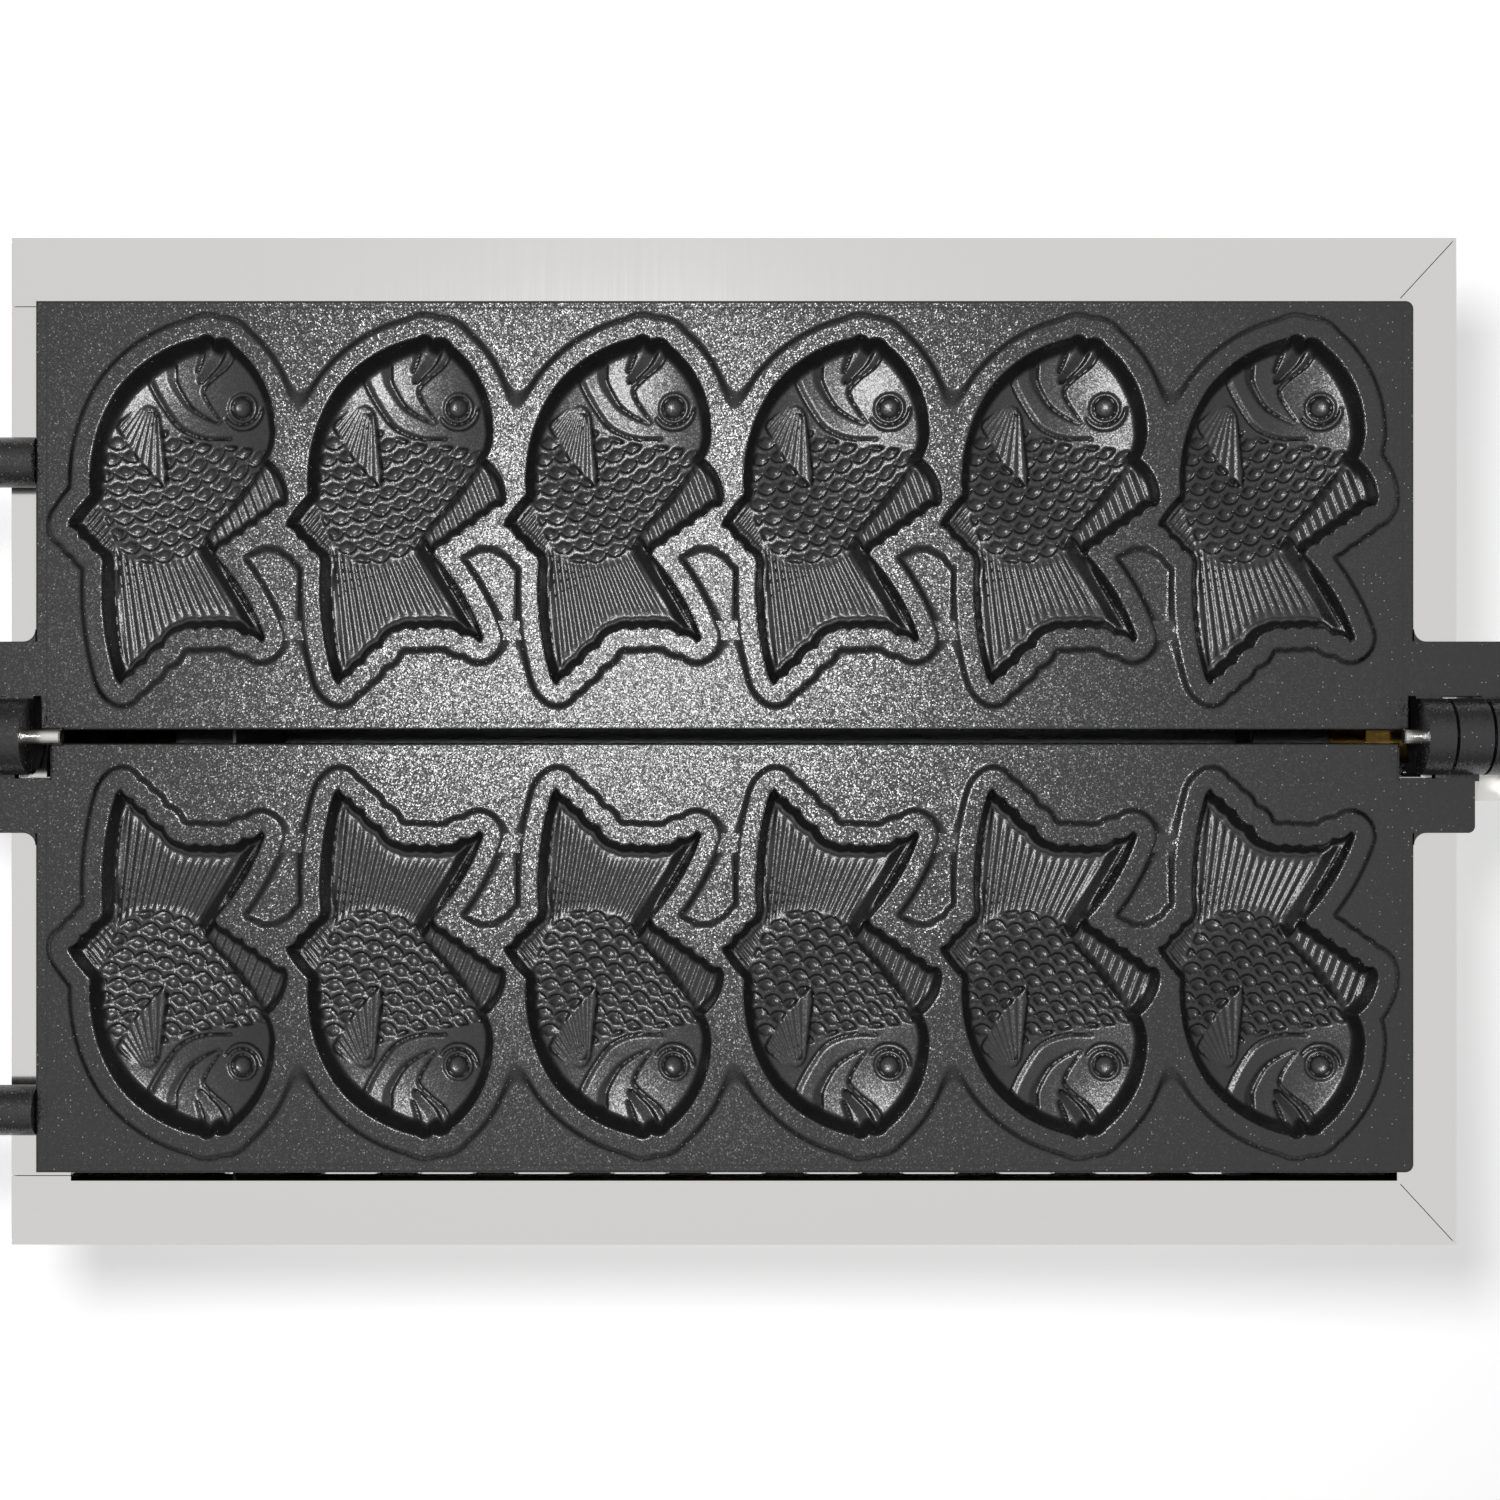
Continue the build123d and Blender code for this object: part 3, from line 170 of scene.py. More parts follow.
@dataclass(frozen=True)
class CoatedCasting(Finish):
    """Cast aluminium, shot-blasted and sprayed with a mica-filled non-stick coat.

    The flat faces are gritty: each grain lies at its own slant, so that single grains glint. In the
    moulds the coat has run smooth. The pale flakes are kept to the flat faces, which paints shade into
    the moulds. Real grit and flakes are a few tenths as wide; they are drawn this coarse so that the
    render shows them.
    """

    grain_mm: float = 0.42
    grain_slant: float = 0.27
    smooth_slant: float = 0.16
    smooth_roughness: float = 0.32
    flake_mm: float = 1.5
    flake_edge: tuple[float, float] = (0.1, 0.2)
    flake_share: float = 0.22
    flake_colour: str = "#9a9996"
    flat_z: float = 208.9
    deep_z: float = 208.2

    def pattern(self, tree: bpy.types.NodeTree, shader: bpy.types.Node,
                place: bpy.types.NodeSocket) -> None:
        """Adds the slanted grains, pale flakes that are kept out of the hollows as painted shade, and the
        smoother coat of the hollows.

        Args:
            tree: The material's node tree.
            shader: The shader whose inputs the pattern drives.
            place: The place on the piece, in metres.
        """
        height = add_node(tree, "SeparateXYZ", links={"Vector": place})
        # 1 on the flats, 0 in the hollows; it also keeps the pale flakes off the hollows, which paints
        # shade there
        gritty = add_node(tree, "MapRange",
                          {"From Min": self.deep_z * MM, "From Max": self.flat_z * MM},
                          {"Value": height.outputs["Z"]}).outputs["Result"]
        self.grit(tree, shader, place, gritty)
        gloss = add_node(tree, "MapRange", {"To Min": self.smooth_roughness, "To Max": self.roughness},
                         {"Value": gritty})
        tree.links.new(gloss.outputs["Result"], shader.inputs["Roughness"])
        flakes = add_node(tree, "TexVoronoi", {"Scale": 1 / (self.flake_mm * MM)}, {"Vector": place})
        full, gone = self.flake_edge
        spot = add_node(tree, "MapRange",
                        {"From Min": full, "From Max": gone, "To Min": 1.0, "To Max": 0.0},
                        {"Value": flakes.outputs["Distance"]})
        chance = add_node(tree, "SeparateColor", links={"Color": flakes.outputs["Color"]})
        chosen = add_node(tree, "Math", {1: 1 - self.flake_share}, {0: chance.outputs["Red"]},
                          operation="GREATER_THAN")
        flake = add_node(tree, "Math", links={0: spot.outputs["Result"], 1: chosen.outputs["Value"]},
                         operation="MULTIPLY")
        # no pale flakes below the flats: painted shade, which leaves the hollows darker
        flake = add_node(tree, "Math", links={0: flake.outputs["Value"], 1: gritty}, operation="MULTIPLY")
        colour = add_node(tree, "Mix", {"A": linear(self.colour), "B": linear(self.flake_colour)},
                          {"Factor": flake.outputs["Value"]}, data_type="RGBA")
        tree.links.new(colour.outputs["Result"], shader.inputs["Base Color"])

    def grit(self, tree: bpy.types.NodeTree, shader: bpy.types.Node, place: bpy.types.NodeSocket,
             gritty: bpy.types.NodeSocket) -> None:
        """Slants the surface by grains, more on the flats than in the hollows.

        Args:
            tree: The material's node tree.
            shader: The shader whose normal is slanted.
            place: The place on the piece, in metres.
            gritty: 1 on the flat faces, falling to 0 in the moulds.
        """
        grains = add_node(tree, "TexVoronoi", {"Scale": 1 / (self.grain_mm * MM)}, {"Vector": place})
        slant = add_node(tree, "MapRange", {"To Min": self.smooth_slant, "To Max": self.grain_slant},
                         {"Value": gritty})
        lean = add_node(tree, "VectorMath", {1: (0.5, 0.5, 0.5)}, {0: grains.outputs["Color"]},
                        operation="SUBTRACT")
        lean = add_node(tree, "VectorMath", links={0: lean.outputs[0], "Scale": slant.outputs["Result"]},
                        operation="SCALE")
        surface = add_node(tree, "NewGeometry")
        normal = add_node(tree, "VectorMath", links={0: surface.outputs["Normal"], 1: lean.outputs[0]},
                          operation="ADD")
        normal = add_node(tree, "VectorMath", links={0: normal.outputs[0]}, operation="NORMALIZE")
        tree.links.new(normal.outputs[0], shader.inputs["Normal"])


@dataclass(frozen=True)
class BrushedSheet(Finish):
    """Stainless sheet with a satin belt-ground face: long faint lines along one direction.

    Real ground lines are about a tenth as wide; they are drawn this coarse so that the render shows them.
    """

    grain: Grain = Grain.ALONG_Y
    line_mm: float = 0.6
    line_length_mm: float = 50.0
    line_height_mm: float = 0.002
    line_strength: float = 0.1
    gloss_change: float = 0.03

    def pattern(self, tree: bpy.types.NodeTree, shader: bpy.types.Node,
                place: bpy.types.NodeSocket) -> None:
        """Adds the ground lines as a change of gloss and a very low relief.

        Args:
            tree: The material's node tree.
            shader: The shader whose inputs the pattern drives.
            place: The place on the piece, in metres.
        """
        stretch = Vector((1.0, 1.0, 1.0)) / (self.line_mm * MM)
        stretch[self.grain.value] = 1 / (self.line_length_mm * MM)
        across = add_node(tree, "Mapping", {"Scale": stretch}, {"Vector": place})
        lines = add_node(tree, "TexNoise", {"Scale": 1.0, "Detail": 3.0}, {"Vector": across.outputs[0]})
        gloss = add_node(tree, "MapRange",
                         {"To Min": self.roughness - self.gloss_change,
                          "To Max": self.roughness + self.gloss_change},
                         {"Value": lines.outputs["Fac"]})
        tree.links.new(gloss.outputs["Result"], shader.inputs["Roughness"])
        bump = add_node(tree, "Bump",
                        {"Strength": self.line_strength, "Distance": self.line_height_mm * MM},
                        {"Height": lines.outputs["Fac"]})
        tree.links.new(bump.outputs["Normal"], shader.inputs["Normal"])


@dataclass(frozen=True)
class FineFinish(Finish):
    """A finish with one even grain: turned, moulded, cast or plated, after its grain size."""

    grain_mm: float = 1.0
    height_mm: float = 0.01
    grain_strength: float = 0.6
    second_colour: str = ""
    patch_mm: float = 18.0
    gloss_change: float = 0.05

    def pattern(self, tree: bpy.types.NodeTree, shader: bpy.types.Node,
                place: bpy.types.NodeSocket) -> None:
        """Adds the grain as a low relief, and patches of the second colour.

        Args:
            tree: The material's node tree.
            shader: The shader whose inputs the pattern drives.
            place: The place on the piece, in metres.
        """
        patches = add_node(tree, "TexNoise", {"Scale": 1 / (self.patch_mm * MM), "Detail": 4.0},
                           {"Vector": place})
        other = linear(self.second_colour or self.colour)
        colour = add_node(tree, "Mix", {"A": linear(self.colour), "B": other},
                          {"Factor": patches.outputs["Fac"]}, data_type="RGBA")
        tree.links.new(colour.outputs["Result"], shader.inputs["Base Color"])
        gloss = add_node(tree, "MapRange",
                         {"To Min": self.roughness - self.gloss_change,
                          "To Max": self.roughness + self.gloss_change},
                         {"Value": patches.outputs["Fac"]})
        tree.links.new(gloss.outputs["Result"], shader.inputs["Roughness"])
        grain = add_node(tree, "TexNoise", {"Scale": 1 / (self.grain_mm * MM), "Detail": 3.0},
                         {"Vector": place})
        bump = add_node(tree, "Bump", {"Strength": self.grain_strength, "Distance": self.height_mm * MM},
                        {"Height": grain.outputs["Fac"]})
        tree.links.new(bump.outputs["Normal"], shader.inputs["Normal"])


# cast aluminium, shot-blasted and coated black: dark and gritty, with single grains that glint
COATING = CoatedCasting("non_stick_coated_casting", "#131314", 0.27, ior=1.54)
# stainless sheet, belt-ground to a satin face: pale, and it mirrors its surroundings with a slight blur
SATIN_SHEET = BrushedSheet("satin_stainless_sheet", "#d0cfcd", 0.12, 1.0)
SATIN_PANEL = BrushedSheet("satin_stainless_panel", "#d0cfcd", 0.12, 1.0, grain=Grain.ALONG_X)
# stainless plate, hot-rolled and pickled: as pale as the sheet but duller
PLATE_STEEL = FineFinish("stainless_plate_pickled", "#c9c8c5", 0.38, 1.0, grain_mm=0.8,
                         second_colour="#d6d5d2")
# steel, turned and polished: bright, with small sharp highlights
BRIGHT_STEEL = FineFinish("turned_steel", "#c4c2be", 0.24, 1.0, grain_mm=0.5, height_mm=0.004,
                          second_colour="#d2d0cc")
# steel, heated and blackened in oil: almost black, with a soft sheen
BLACK_STEEL = FineFinish("oil_blackened_steel", "#1d1d1e", 0.45, grain_mm=0.7, height_mm=0.03,
                         second_colour="#262627")
# phenolic resin, pressed in a polished mould: brown black and smooth
PHENOLIC = FineFinish("moulded_phenolic", "#141313", 0.32, grain_mm=0.6, height_mm=0.008,
                      second_colour="#1b1a19", patch_mm=30.0)
# brass, machined from bar: yellow, with a fine tool grain
BRASS = FineFinish("machined_brass", "#c9a55c", 0.30, 1.0, grain_mm=0.6, height_mm=0.01,
                   second_colour="#b48d45")
# brass, machined, with the shade of the dark gap under the plates painted into its colour: dark, with
# hardly any shine
DULL_BRASS = FineFinish("heat_dulled_brass", "#3d3325", 0.55, 0.8, grain_mm=1.0, height_mm=0.02,
                        second_colour="#2e2820")
# stainless sheet that the flames have browned: grey brown, with a broad soft shine
DULL_STEEL = FineFinish("heat_dulled_stainless", "#4c4a48", 0.50, 0.9, grain_mm=0.8,
                        second_colour="#3b3937")
# rubber, moulded: black and matt
RUBBER = FineFinish("moulded_rubber", "#1a1a1a", 0.62, grain_mm=0.5, height_mm=0.02,
                    second_colour="#222222")
# cast iron with the skin of its sand mould, dulled by heat: dark grey and rough
BURNER_IRON = FineFinish("heat_dulled_cast_iron", "#4b4846", 0.62, 0.6, grain_mm=1.2, height_mm=0.08,
                         second_colour="#3a3634")
# steel with a dull zinc plate: cool grey, faintly clouded
ZINC = FineFinish("dull_zinc_plate", "#a9abad", 0.42, 1.0, grain_mm=1.5, height_mm=0.01,
                  second_colour="#b9bbbd")
# stoving ink, pad-printed: flat black without a pattern
MARKING = Finish("black_dial_print", "#161616", 0.55)
# white paint, rolled on: even and without shine
FLOOR_PAINT = Finish("matt_white_floor", "#f4f4f4", 1.0)

NODE_FINISHES = {
    COATING: ("left_mould_plate", "right_mould_plate"),
    SATIN_SHEET: ("body_wrap", "crumb_tray", "tray_rail_left", "tray_rail_right", "base_plate"),
    SATIN_PANEL: ("control_panel",),
    DULL_STEEL: ("heat_shield", "burner_support"),
    # the manifold shows only in the dark gap under the plates; its dark brass is painted shade
    DULL_BRASS: ("gas_manifold",),
    PLATE_STEEL: ("trunnion_bracket_front", "trunnion_bracket_rear", "knob_bezel_left",
                  "knob_bezel_right", "tray_pull"),
    BRIGHT_STEEL: ("hinge_pin_front", "hinge_pin_rear", "pin_clips", "foot_screws", "foot_nuts",
                   "panel_screws", "bracket_screws", "bracket_nuts", "push_collar_left",
                   "push_collar_right", "left_grip_cap", "right_grip_cap"),
    BLACK_STEEL: ("left_handle_rod", "right_handle_rod", "pin_keys"),
    PHENOLIC: ("left_handle_grip", "right_handle_grip", "gas_knob_left", "gas_knob_right"),
    BRASS: ("gas_inlet_fitting", "inlet_lock_nut", "gas_valve_left", "gas_valve_right",
            "valve_stem_left", "valve_stem_right", "gas_jet_left", "gas_jet_right"),
    RUBBER: ("foot_front_left", "foot_front_right", "foot_rear_left", "foot_rear_right"),
    BURNER_IRON: ("burner_left", "burner_right"),
    ZINC: ("supply_pipe", "air_shutter_left", "air_shutter_right"),
}


# ------------------------------------------------------------------ finishing pieces
def finish_piece(piece: bpy.types.Object, finish: Finish, body: str) -> bpy.types.Object:
    """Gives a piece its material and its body.

    Args:
        piece: The piece, in place.
        finish: What its surface is.
        body: The body it moves with.

    Returns:
        The same piece.
    """
    piece.data.materials.clear()
    piece.data.materials.append(finish.material())
    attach(piece, body)
    LOG.info("%s rides on %s", piece.name, body)
    return piece


def piece_from(shape: bmesh.types.BMesh, name: str, crease_degrees: float = 35.0) -> bpy.types.Object:
    """Turns a finished bmesh into an object whose shallow edges are shaded smooth.

    Args:
        shape: The shape, in metres and in place; it is freed.
        name: The piece's name.
        crease_degrees: Edges that turn by more than this stay sharp.

    Returns:
        The new object, at the origin.
    """
    mesh = bpy.data.meshes.new(name)
    shape.to_mesh(mesh)
    shape.free()
    mesh.polygons.foreach_set("use_smooth", [True] * len(mesh.polygons))
    mesh.set_sharp_from_angle(angle=math.radians(crease_degrees))
    piece = bpy.data.objects.new(name, mesh)
    bpy.context.scene.collection.objects.link(piece)
    return piece


def turned(profile: list[tuple[float, float]], axis_y: float, axis_z: float, name: str,
           steps: int = 64) -> bpy.types.Object:
    """Turns an outline about an axis along X.

    Args:
        profile: Points (x, radius) in millimetres, from one end to the other.
        axis_y: Where the axis lies along Y, in millimetres.
        axis_z: Where the axis lies along Z, in millimetres.
        name: The piece's name.
        steps: Facets round the axis.

    Returns:
        The turned piece.
    """
    shape = bmesh.new()
    points = [(profile[0][0], 0.0), *profile, (profile[-1][0], 0.0)]
    verts = [shape.verts.new((x * MM, 0.0, r * MM)) for x, r in points]
    edges = [shape.edges.new(pair) for pair in zip(verts[:-1], verts[1:])]
    bmesh.ops.spin(shape, geom=verts + edges, cent=(0, 0, 0), axis=(1, 0, 0), dvec=(0, 0, 0),
                   angle=math.tau, steps=steps, use_merge=True)
    bmesh.ops.remove_doubles(shape, verts=shape.verts, dist=0.001 * MM)
    bmesh.ops.recalc_face_normals(shape, faces=shape.faces)
    bmesh.ops.translate(shape, verts=shape.verts, vec=Vector((0, axis_y, axis_z)) * MM)
    return piece_from(shape, name)


def eased(points: list[tuple[float, float]], parts: int = 8) -> list[tuple[float, float]]:
    """Runs a smooth curve (Catmull and Rom's) through the points of an outline.

    Args:
        points: The outline's own points.
        parts: How many runs replace each run of the outline.

    Returns:
        The finer outline.
    """
    ends = [points[0], *points, points[-1]]
    fine = []
    for a, b, c, d in zip(ends[:-3], ends[1:-2], ends[2:-1], ends[3:]):
        for part in range(parts):
            t = part / parts
            fine.append(tuple(
                0.5 * (2 * q + (r - p) * t + (2 * p - 5 * q + 4 * r - s) * t**2
                       + (3 * q - p - 3 * r + s) * t**3)
                for p, q, r, s in zip(a, b, c, d)))
    return [*fine, points[-1]]


def softened(node: str, width_mm: float, crease_degrees: float = 40.0) -> bpy.types.Object:
    """Copies a node's shape and rounds its sharp edges.

    Args:
        node: The node that the copy stands for.
        width_mm: Width of the rounding.
        crease_degrees: Edges that turn by more than this are rounded.

    Returns:
        The new piece, which replaces the node.
    """
    merge_mm, level_degrees, steps = 0.002, 0.6, 3
    shape = bmesh.new()
    shape.from_mesh(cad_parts[node].data)
    bmesh.ops.remove_doubles(shape, verts=shape.verts, dist=merge_mm * MM)
    bmesh.ops.dissolve_limit(shape, angle_limit=math.radians(level_degrees), verts=shape.verts,
                             edges=shape.edges)
    sharp = [e for e in shape.edges
             if e.is_manifold and e.calc_face_angle() > math.radians(crease_degrees)]
    bmesh.ops.bevel(shape, geom=sharp, offset=width_mm * MM, offset_type="OFFSET", affect="EDGES",
                    segments=steps, profile=0.5, material=-1, clamp_overlap=True)
    piece = piece_from(shape, f"{node}_finished", crease_degrees)
    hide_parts(node)
    return piece


# ------------------------------------------------------------------ plane geometry of the relief
def smooth_min(first: np.ndarray, second: np.ndarray, width: float) -> np.ndarray:
    """Returns the smaller of two fields, with a rounding of that width where they meet."""
    share = np.clip(0.5 + 0.5 * (second - first) / width, 0.0, 1.0)
    return second * (1 - share) + first * share - width * share * (1 - share)


def smooth_max(first: np.ndarray, second: np.ndarray, width: float) -> np.ndarray:
    """Returns the larger of two fields, with a rounding of that width where they meet."""
    return -smooth_min(-first, -second, width)


def ramp(value: np.ndarray, low: float, high: float) -> np.ndarray:
    """Rises smoothly from 0 at low to 1 at high."""
    share = np.clip((value - low) / (high - low), 0.0, 1.0)
    return share * share * (3 - 2 * share)


def hump(offset: np.ndarray) -> np.ndarray:
    """Returns a low hump: 1 in the middle, falling as a parabola to 0 at an offset of 1."""
    return np.clip(1 - offset**2, 0.0, 1.0)


def half_round(offset: np.ndarray) -> np.ndarray:
    """Returns a half circle: 1 in the middle, falling steeply to 0 at an offset of 1."""
    return np.sqrt(hump(offset))


def rounded_ribs(phase: np.ndarray, groove: float = 0.2) -> np.ndarray:
    """Returns round-topped ribs with narrow grooves between them, one for each whole turn."""
    return np.hypot(np.sin(np.pi * phase), groove) - groove


def lapped_ribs(phase: np.ndarray, slope: tuple[float, float] = (1.15, 1.1),
                step: float = 0.17) -> np.ndarray:
    """Makes ribs that lap like boards: a long slope and a short step for each whole turn.

    Args:
        phase: How many ribs lie before each place.
        slope: How far the slope would run without the step, and how high it would rise.
        step: The share of a rib in which the step falls by 1.

    Returns:
        The height at each place, from 0 to about 1.
    """
    share = np.mod(phase, 1.0)
    return np.minimum(ramp(share, 0.0, slope[0]) * slope[1], (1.0 - share) / step)


def turn_about(points: np.ndarray, centre: tuple[float, float]) -> np.ndarray:
    """Returns each point's direction from a centre, in degrees from the way to the hinge line."""
    away = points - np.array(centre)
    return np.degrees(np.arctan2(away[:, 0], -away[:, 1]))


def nearest_on_path(points: np.ndarray,
                    path: np.ndarray) -> tuple[np.ndarray, np.ndarray, np.ndarray]:
    """Finds the nearest place on an open path of straight runs.

    Args:
        points: The points to measure from.
        path: The path's own points.

    Returns:
        The distance from each point; how far along the path the place lies, from 0 to 1; and 1 for
        points to the left of the path's way, else -1.
    """
    nearest = np.full(len(points), np.inf)
    along = np.zeros(len(points))
    side = np.ones(len(points))
    for number, (near, far) in enumerate(zip(path[:-1], path[1:])):
        run = far - near
        away = points - near
        share = np.clip(away @ run / (run @ run), 0.0, 1.0)
        gap = away - share[:, None] * run
        distance = gap[:, 0] ** 2 + gap[:, 1] ** 2
        closer = distance < nearest
        nearest = np.where(closer, distance, nearest)
        along = np.where(closer, (number + share) / (len(path) - 1), along)
        side = np.where(closer, np.sign(run[0] * away[:, 1] - run[1] * away[:, 0]), side)
    return np.sqrt(nearest), along, side


def path_distance(points: np.ndarray, path: np.ndarray) -> np.ndarray:
    """Returns the distance from each point to an open path of straight runs."""
    return nearest_on_path(points, path)[0]


def signed_distance(points: np.ndarray, loop: np.ndarray) -> np.ndarray:
    """Measures how far each point lies from a closed loop.

    Args:
        points: The points to measure from.
        loop: The loop's corners, without the first one again.

    Returns:
        The distance from each point, negative inside the loop.
    """
    closed = np.vstack([loop, loop[:1]])
    inside = np.zeros(len(points), bool)
    for (x0, y0), (x1, y1) in zip(closed[:-1], closed[1:]):
        if y0 == y1:
            continue
        crosses = (y0 > points[:, 1]) != (y1 > points[:, 1])
        inside ^= crosses & (points[:, 0] < x0 + (points[:, 1] - y0) * (x1 - x0) / (y1 - y0))
    return np.where(inside, -1.0, 1.0) * path_distance(points, closed)


def blur_reach(width: float) -> int:
    """Returns how many steps of the grid a softening of that width looks across."""
    return math.ceil(2.5 * width)


def blurred(field: np.ndarray, width: float) -> np.ndarray:
    """Softens a field on a grid, and loses as many rows and columns at its edges as it looks across.

    Args:
        field: The values, one for each place on the grid.
        width: How far the softening spreads, in steps of the grid.

    Returns:
        The softened inner part of the field.
    """
    reach = blur_reach(width)
    weights = np.exp(-0.5 * (np.arange(-reach, reach + 1) / width) ** 2)
    weights /= weights.sum()
    for axis in (0, 1):
        field = np.lib.stride_tricks.sliding_window_view(field, 2 * reach + 1, axis) @ weights
    return field


def arc_points(start: np.ndarray, end: np.ndarray, bulge: float, run: float = 1.2) -> list[np.ndarray]:
    """Lays points along an arc that bulges to the left of its way.

    Args:
        start: Where the arc starts.
        end: Where it ends.
        bulge: How far its middle lies from the chord; a negative one lies to the right.
        run: The greatest distance between two points, in millimetres.

    Returns:
        The points, at least three, without the end.
    """
    chord = float(np.hypot(*(end - start)))
    along = (end - start) / chord
    left = np.array([-along[1], along[0]])
    radius = (chord**2 / 4 + bulge**2) / (2 * bulge)
    centre = (start + end) / 2 + left * (bulge - radius)
    half = math.asin(min(1.0, chord / 2 / radius))
    count = max(3, math.ceil(chord / run))
    angles = np.linspace(-half, half, count, endpoint=False)
    return [centre + radius * (left * math.cos(a) + along * math.sin(a)) for a in angles]


# ------------------------------------------------------------------ the fish
@dataclass(frozen=True)
class Channel:
    """A channel pressed into the relief along a path, such as the edge of a gill cover.

    Its floor falls from one side to a steep step at the other. The widths of the slope and the step
    are shares of the channel's half width.
    """

    path: tuple[tuple[float, float], ...]
    start_half: float
    end_half: float
    depth: float
    step_side: float = 1.0
    parts: int = 5
    narrow_depth: float = 0.4
    slope_width: float = 1.55
    step_width: float = 0.45

    def depth_at(self, points: np.ndarray) -> np.ndarray:
        """Works out the channel, which grows shallower where it narrows.

        Args:
            points: Places in the fish.

        Returns:
            The depth that the channel adds at each place.
        """
        path = np.array(eased(list(self.path), self.parts))
        distance, along, side = nearest_on_path(points, path)
        half = self.start_half + (self.end_half - self.start_half) * along
        across = side * self.step_side * distance / half
        depth = self.depth * np.minimum(1.0, self.narrow_depth + half / self.start_half)
        slope = np.clip((across + 1.0) / self.slope_width, 0.0, 1.0)
        return depth * slope * ramp(1.0 - across, 0.0, self.step_width)


@dataclass(frozen=True)
class Eye:
    """The eye: a round ball inside a ring, with a lid bent round one side of them."""

    middle: tuple[float, float] = (17.7, 122.0)
    ball_radius: float = 3.7
    ball_depth: float = 1.55
    ring_radius: float = 5.0
    ring_half: float = 0.75
    ring_depth: float = 0.8
    lid_radius: float = 7.5
    lid_half: float = 1.15
    lid_tip_half: float = 0.01
    lid_degrees: float = -76.0
    lid_reach_degrees: float = 80.0
    lid_share: float = 0.98

    def depth_at(self, points: np.ndarray) -> np.ndarray:
        """Works out the ball, the ring and the lid.

        Args:
            points: Places in the fish.

        Returns:
            The depth that the eye adds at each place.
        """
        away = points - np.array(self.middle)
        radius = np.hypot(away[:, 0], away[:, 1])
        ball = self.ball_depth * half_round(radius / self.ball_radius)
        ring = self.ring_depth * half_round((radius - self.ring_radius) / self.ring_half)
        turn = np.degrees(np.arctan2(away[:, 1], away[:, 0]))
        turn = (turn - self.lid_degrees) / self.lid_reach_degrees
        half = self.lid_half * half_round(turn) + self.lid_tip_half
        lid = (np.abs(turn) < self.lid_share) * half_round((radius - self.lid_radius) / half)
        return np.maximum(lid, np.maximum(ball, ring))


@dataclass(frozen=True)
class ScaledSkin:
    """Rows of overlapping scales, which sink towards their free edges at the tail's side."""

    origin: tuple[float, float] = (-13.3, 61.8)
    tilt_degrees: float = 13.0
    row_curve: float = 0.0055
    pitch: float = 7.5
    row: float = 5.6
    radius: float = 4.1
    depth: float = 1.7
    narrow_power: float = 0.6
    slope: tuple[float, float] = (0.16, 0.84)
    edge: float = 0.8
    corner_round: float = 1.5
    bead: float = 0.38
    bead_at: float = 1.35
    bead_half: float = 0.75

    def depth_at(self, points: np.ndarray) -> np.ndarray:
        """Works out the scales, where each row laps over the next one.

        Args:
            points: Places in the fish.

        Returns:
            The depth that the scales add at each place.
        """
        tilt = math.radians(self.tilt_degrees)
        away = points - np.array(self.origin)
        along = away @ np.array((math.sin(tilt), -math.cos(tilt)))
        across = away @ np.array((math.cos(tilt), math.sin(tilt)))
        along = along + self.row_curve * across**2
        depth = np.zeros(len(points))
        covered = np.zeros(len(points), bool)
        first = np.floor(-along / self.row)
        for ahead in (2, 1, 0):
            row = first + ahead
            shift = np.mod(row, 2) / 2
            column = np.round(across / self.pitch - shift) + shift
            from_row = along + row * self.row
            from_column = across - column * self.pitch
            here = (np.hypot(from_row, from_column) < self.radius) & ~covered
            depth = np.where(here, self.one_scale(from_row, from_column), depth)
            covered |= here
        return depth

    def one_scale(self, from_row: np.ndarray, from_column: np.ndarray) -> np.ndarray:
        """Works out one scale: a slope from the last row's edge to its own, with a bead round it.

        Args:
            from_row: How far each place lies from the scale's middle towards its free edge.
            from_column: How far it lies to the side.

        Returns:
            The depth at each place.
        """
        half = self.pitch / 2
        across = np.minimum(np.abs(from_column), half)
        own_edge = np.sqrt(self.radius**2 - across**2)
        from_last = half + self.corner_round - np.hypot(across, self.corner_round)
        last_edge = np.sqrt(self.radius**2 - from_last**2)
        length = own_edge + self.row - last_edge
        slope = ramp((from_row + self.row - last_edge) / length, *self.slope)
        depth = self.depth * (length / self.pitch) ** self.narrow_power
        inside = self.radius - np.hypot(from_row, from_column)
        beyond_last = np.hypot(from_row + self.row, half - across) - self.radius
        bead = hump((np.minimum(inside, beyond_last) - self.bead_at) / self.bead_half)
        return depth * slope * ramp(inside, 0.0, self.edge) - self.bead * bead


@dataclass(frozen=True)
class LappedFin:
    """A long fin whose ribs lap like boards, and the line from which it takes over from the tail."""

    rib_way: tuple[float, float]
    rib_pitch: float
    out_way: tuple[float, float]
    starts: tuple[float, float]


DORSAL_FIN = LappedFin((-0.937, -0.349), 3.4, (0.86, 0.5), (40.5, 42.0))
ANAL_FIN = LappedFin((0.78, -0.63), 2.3, (-0.9, 0.35), (50.5, 52.0))

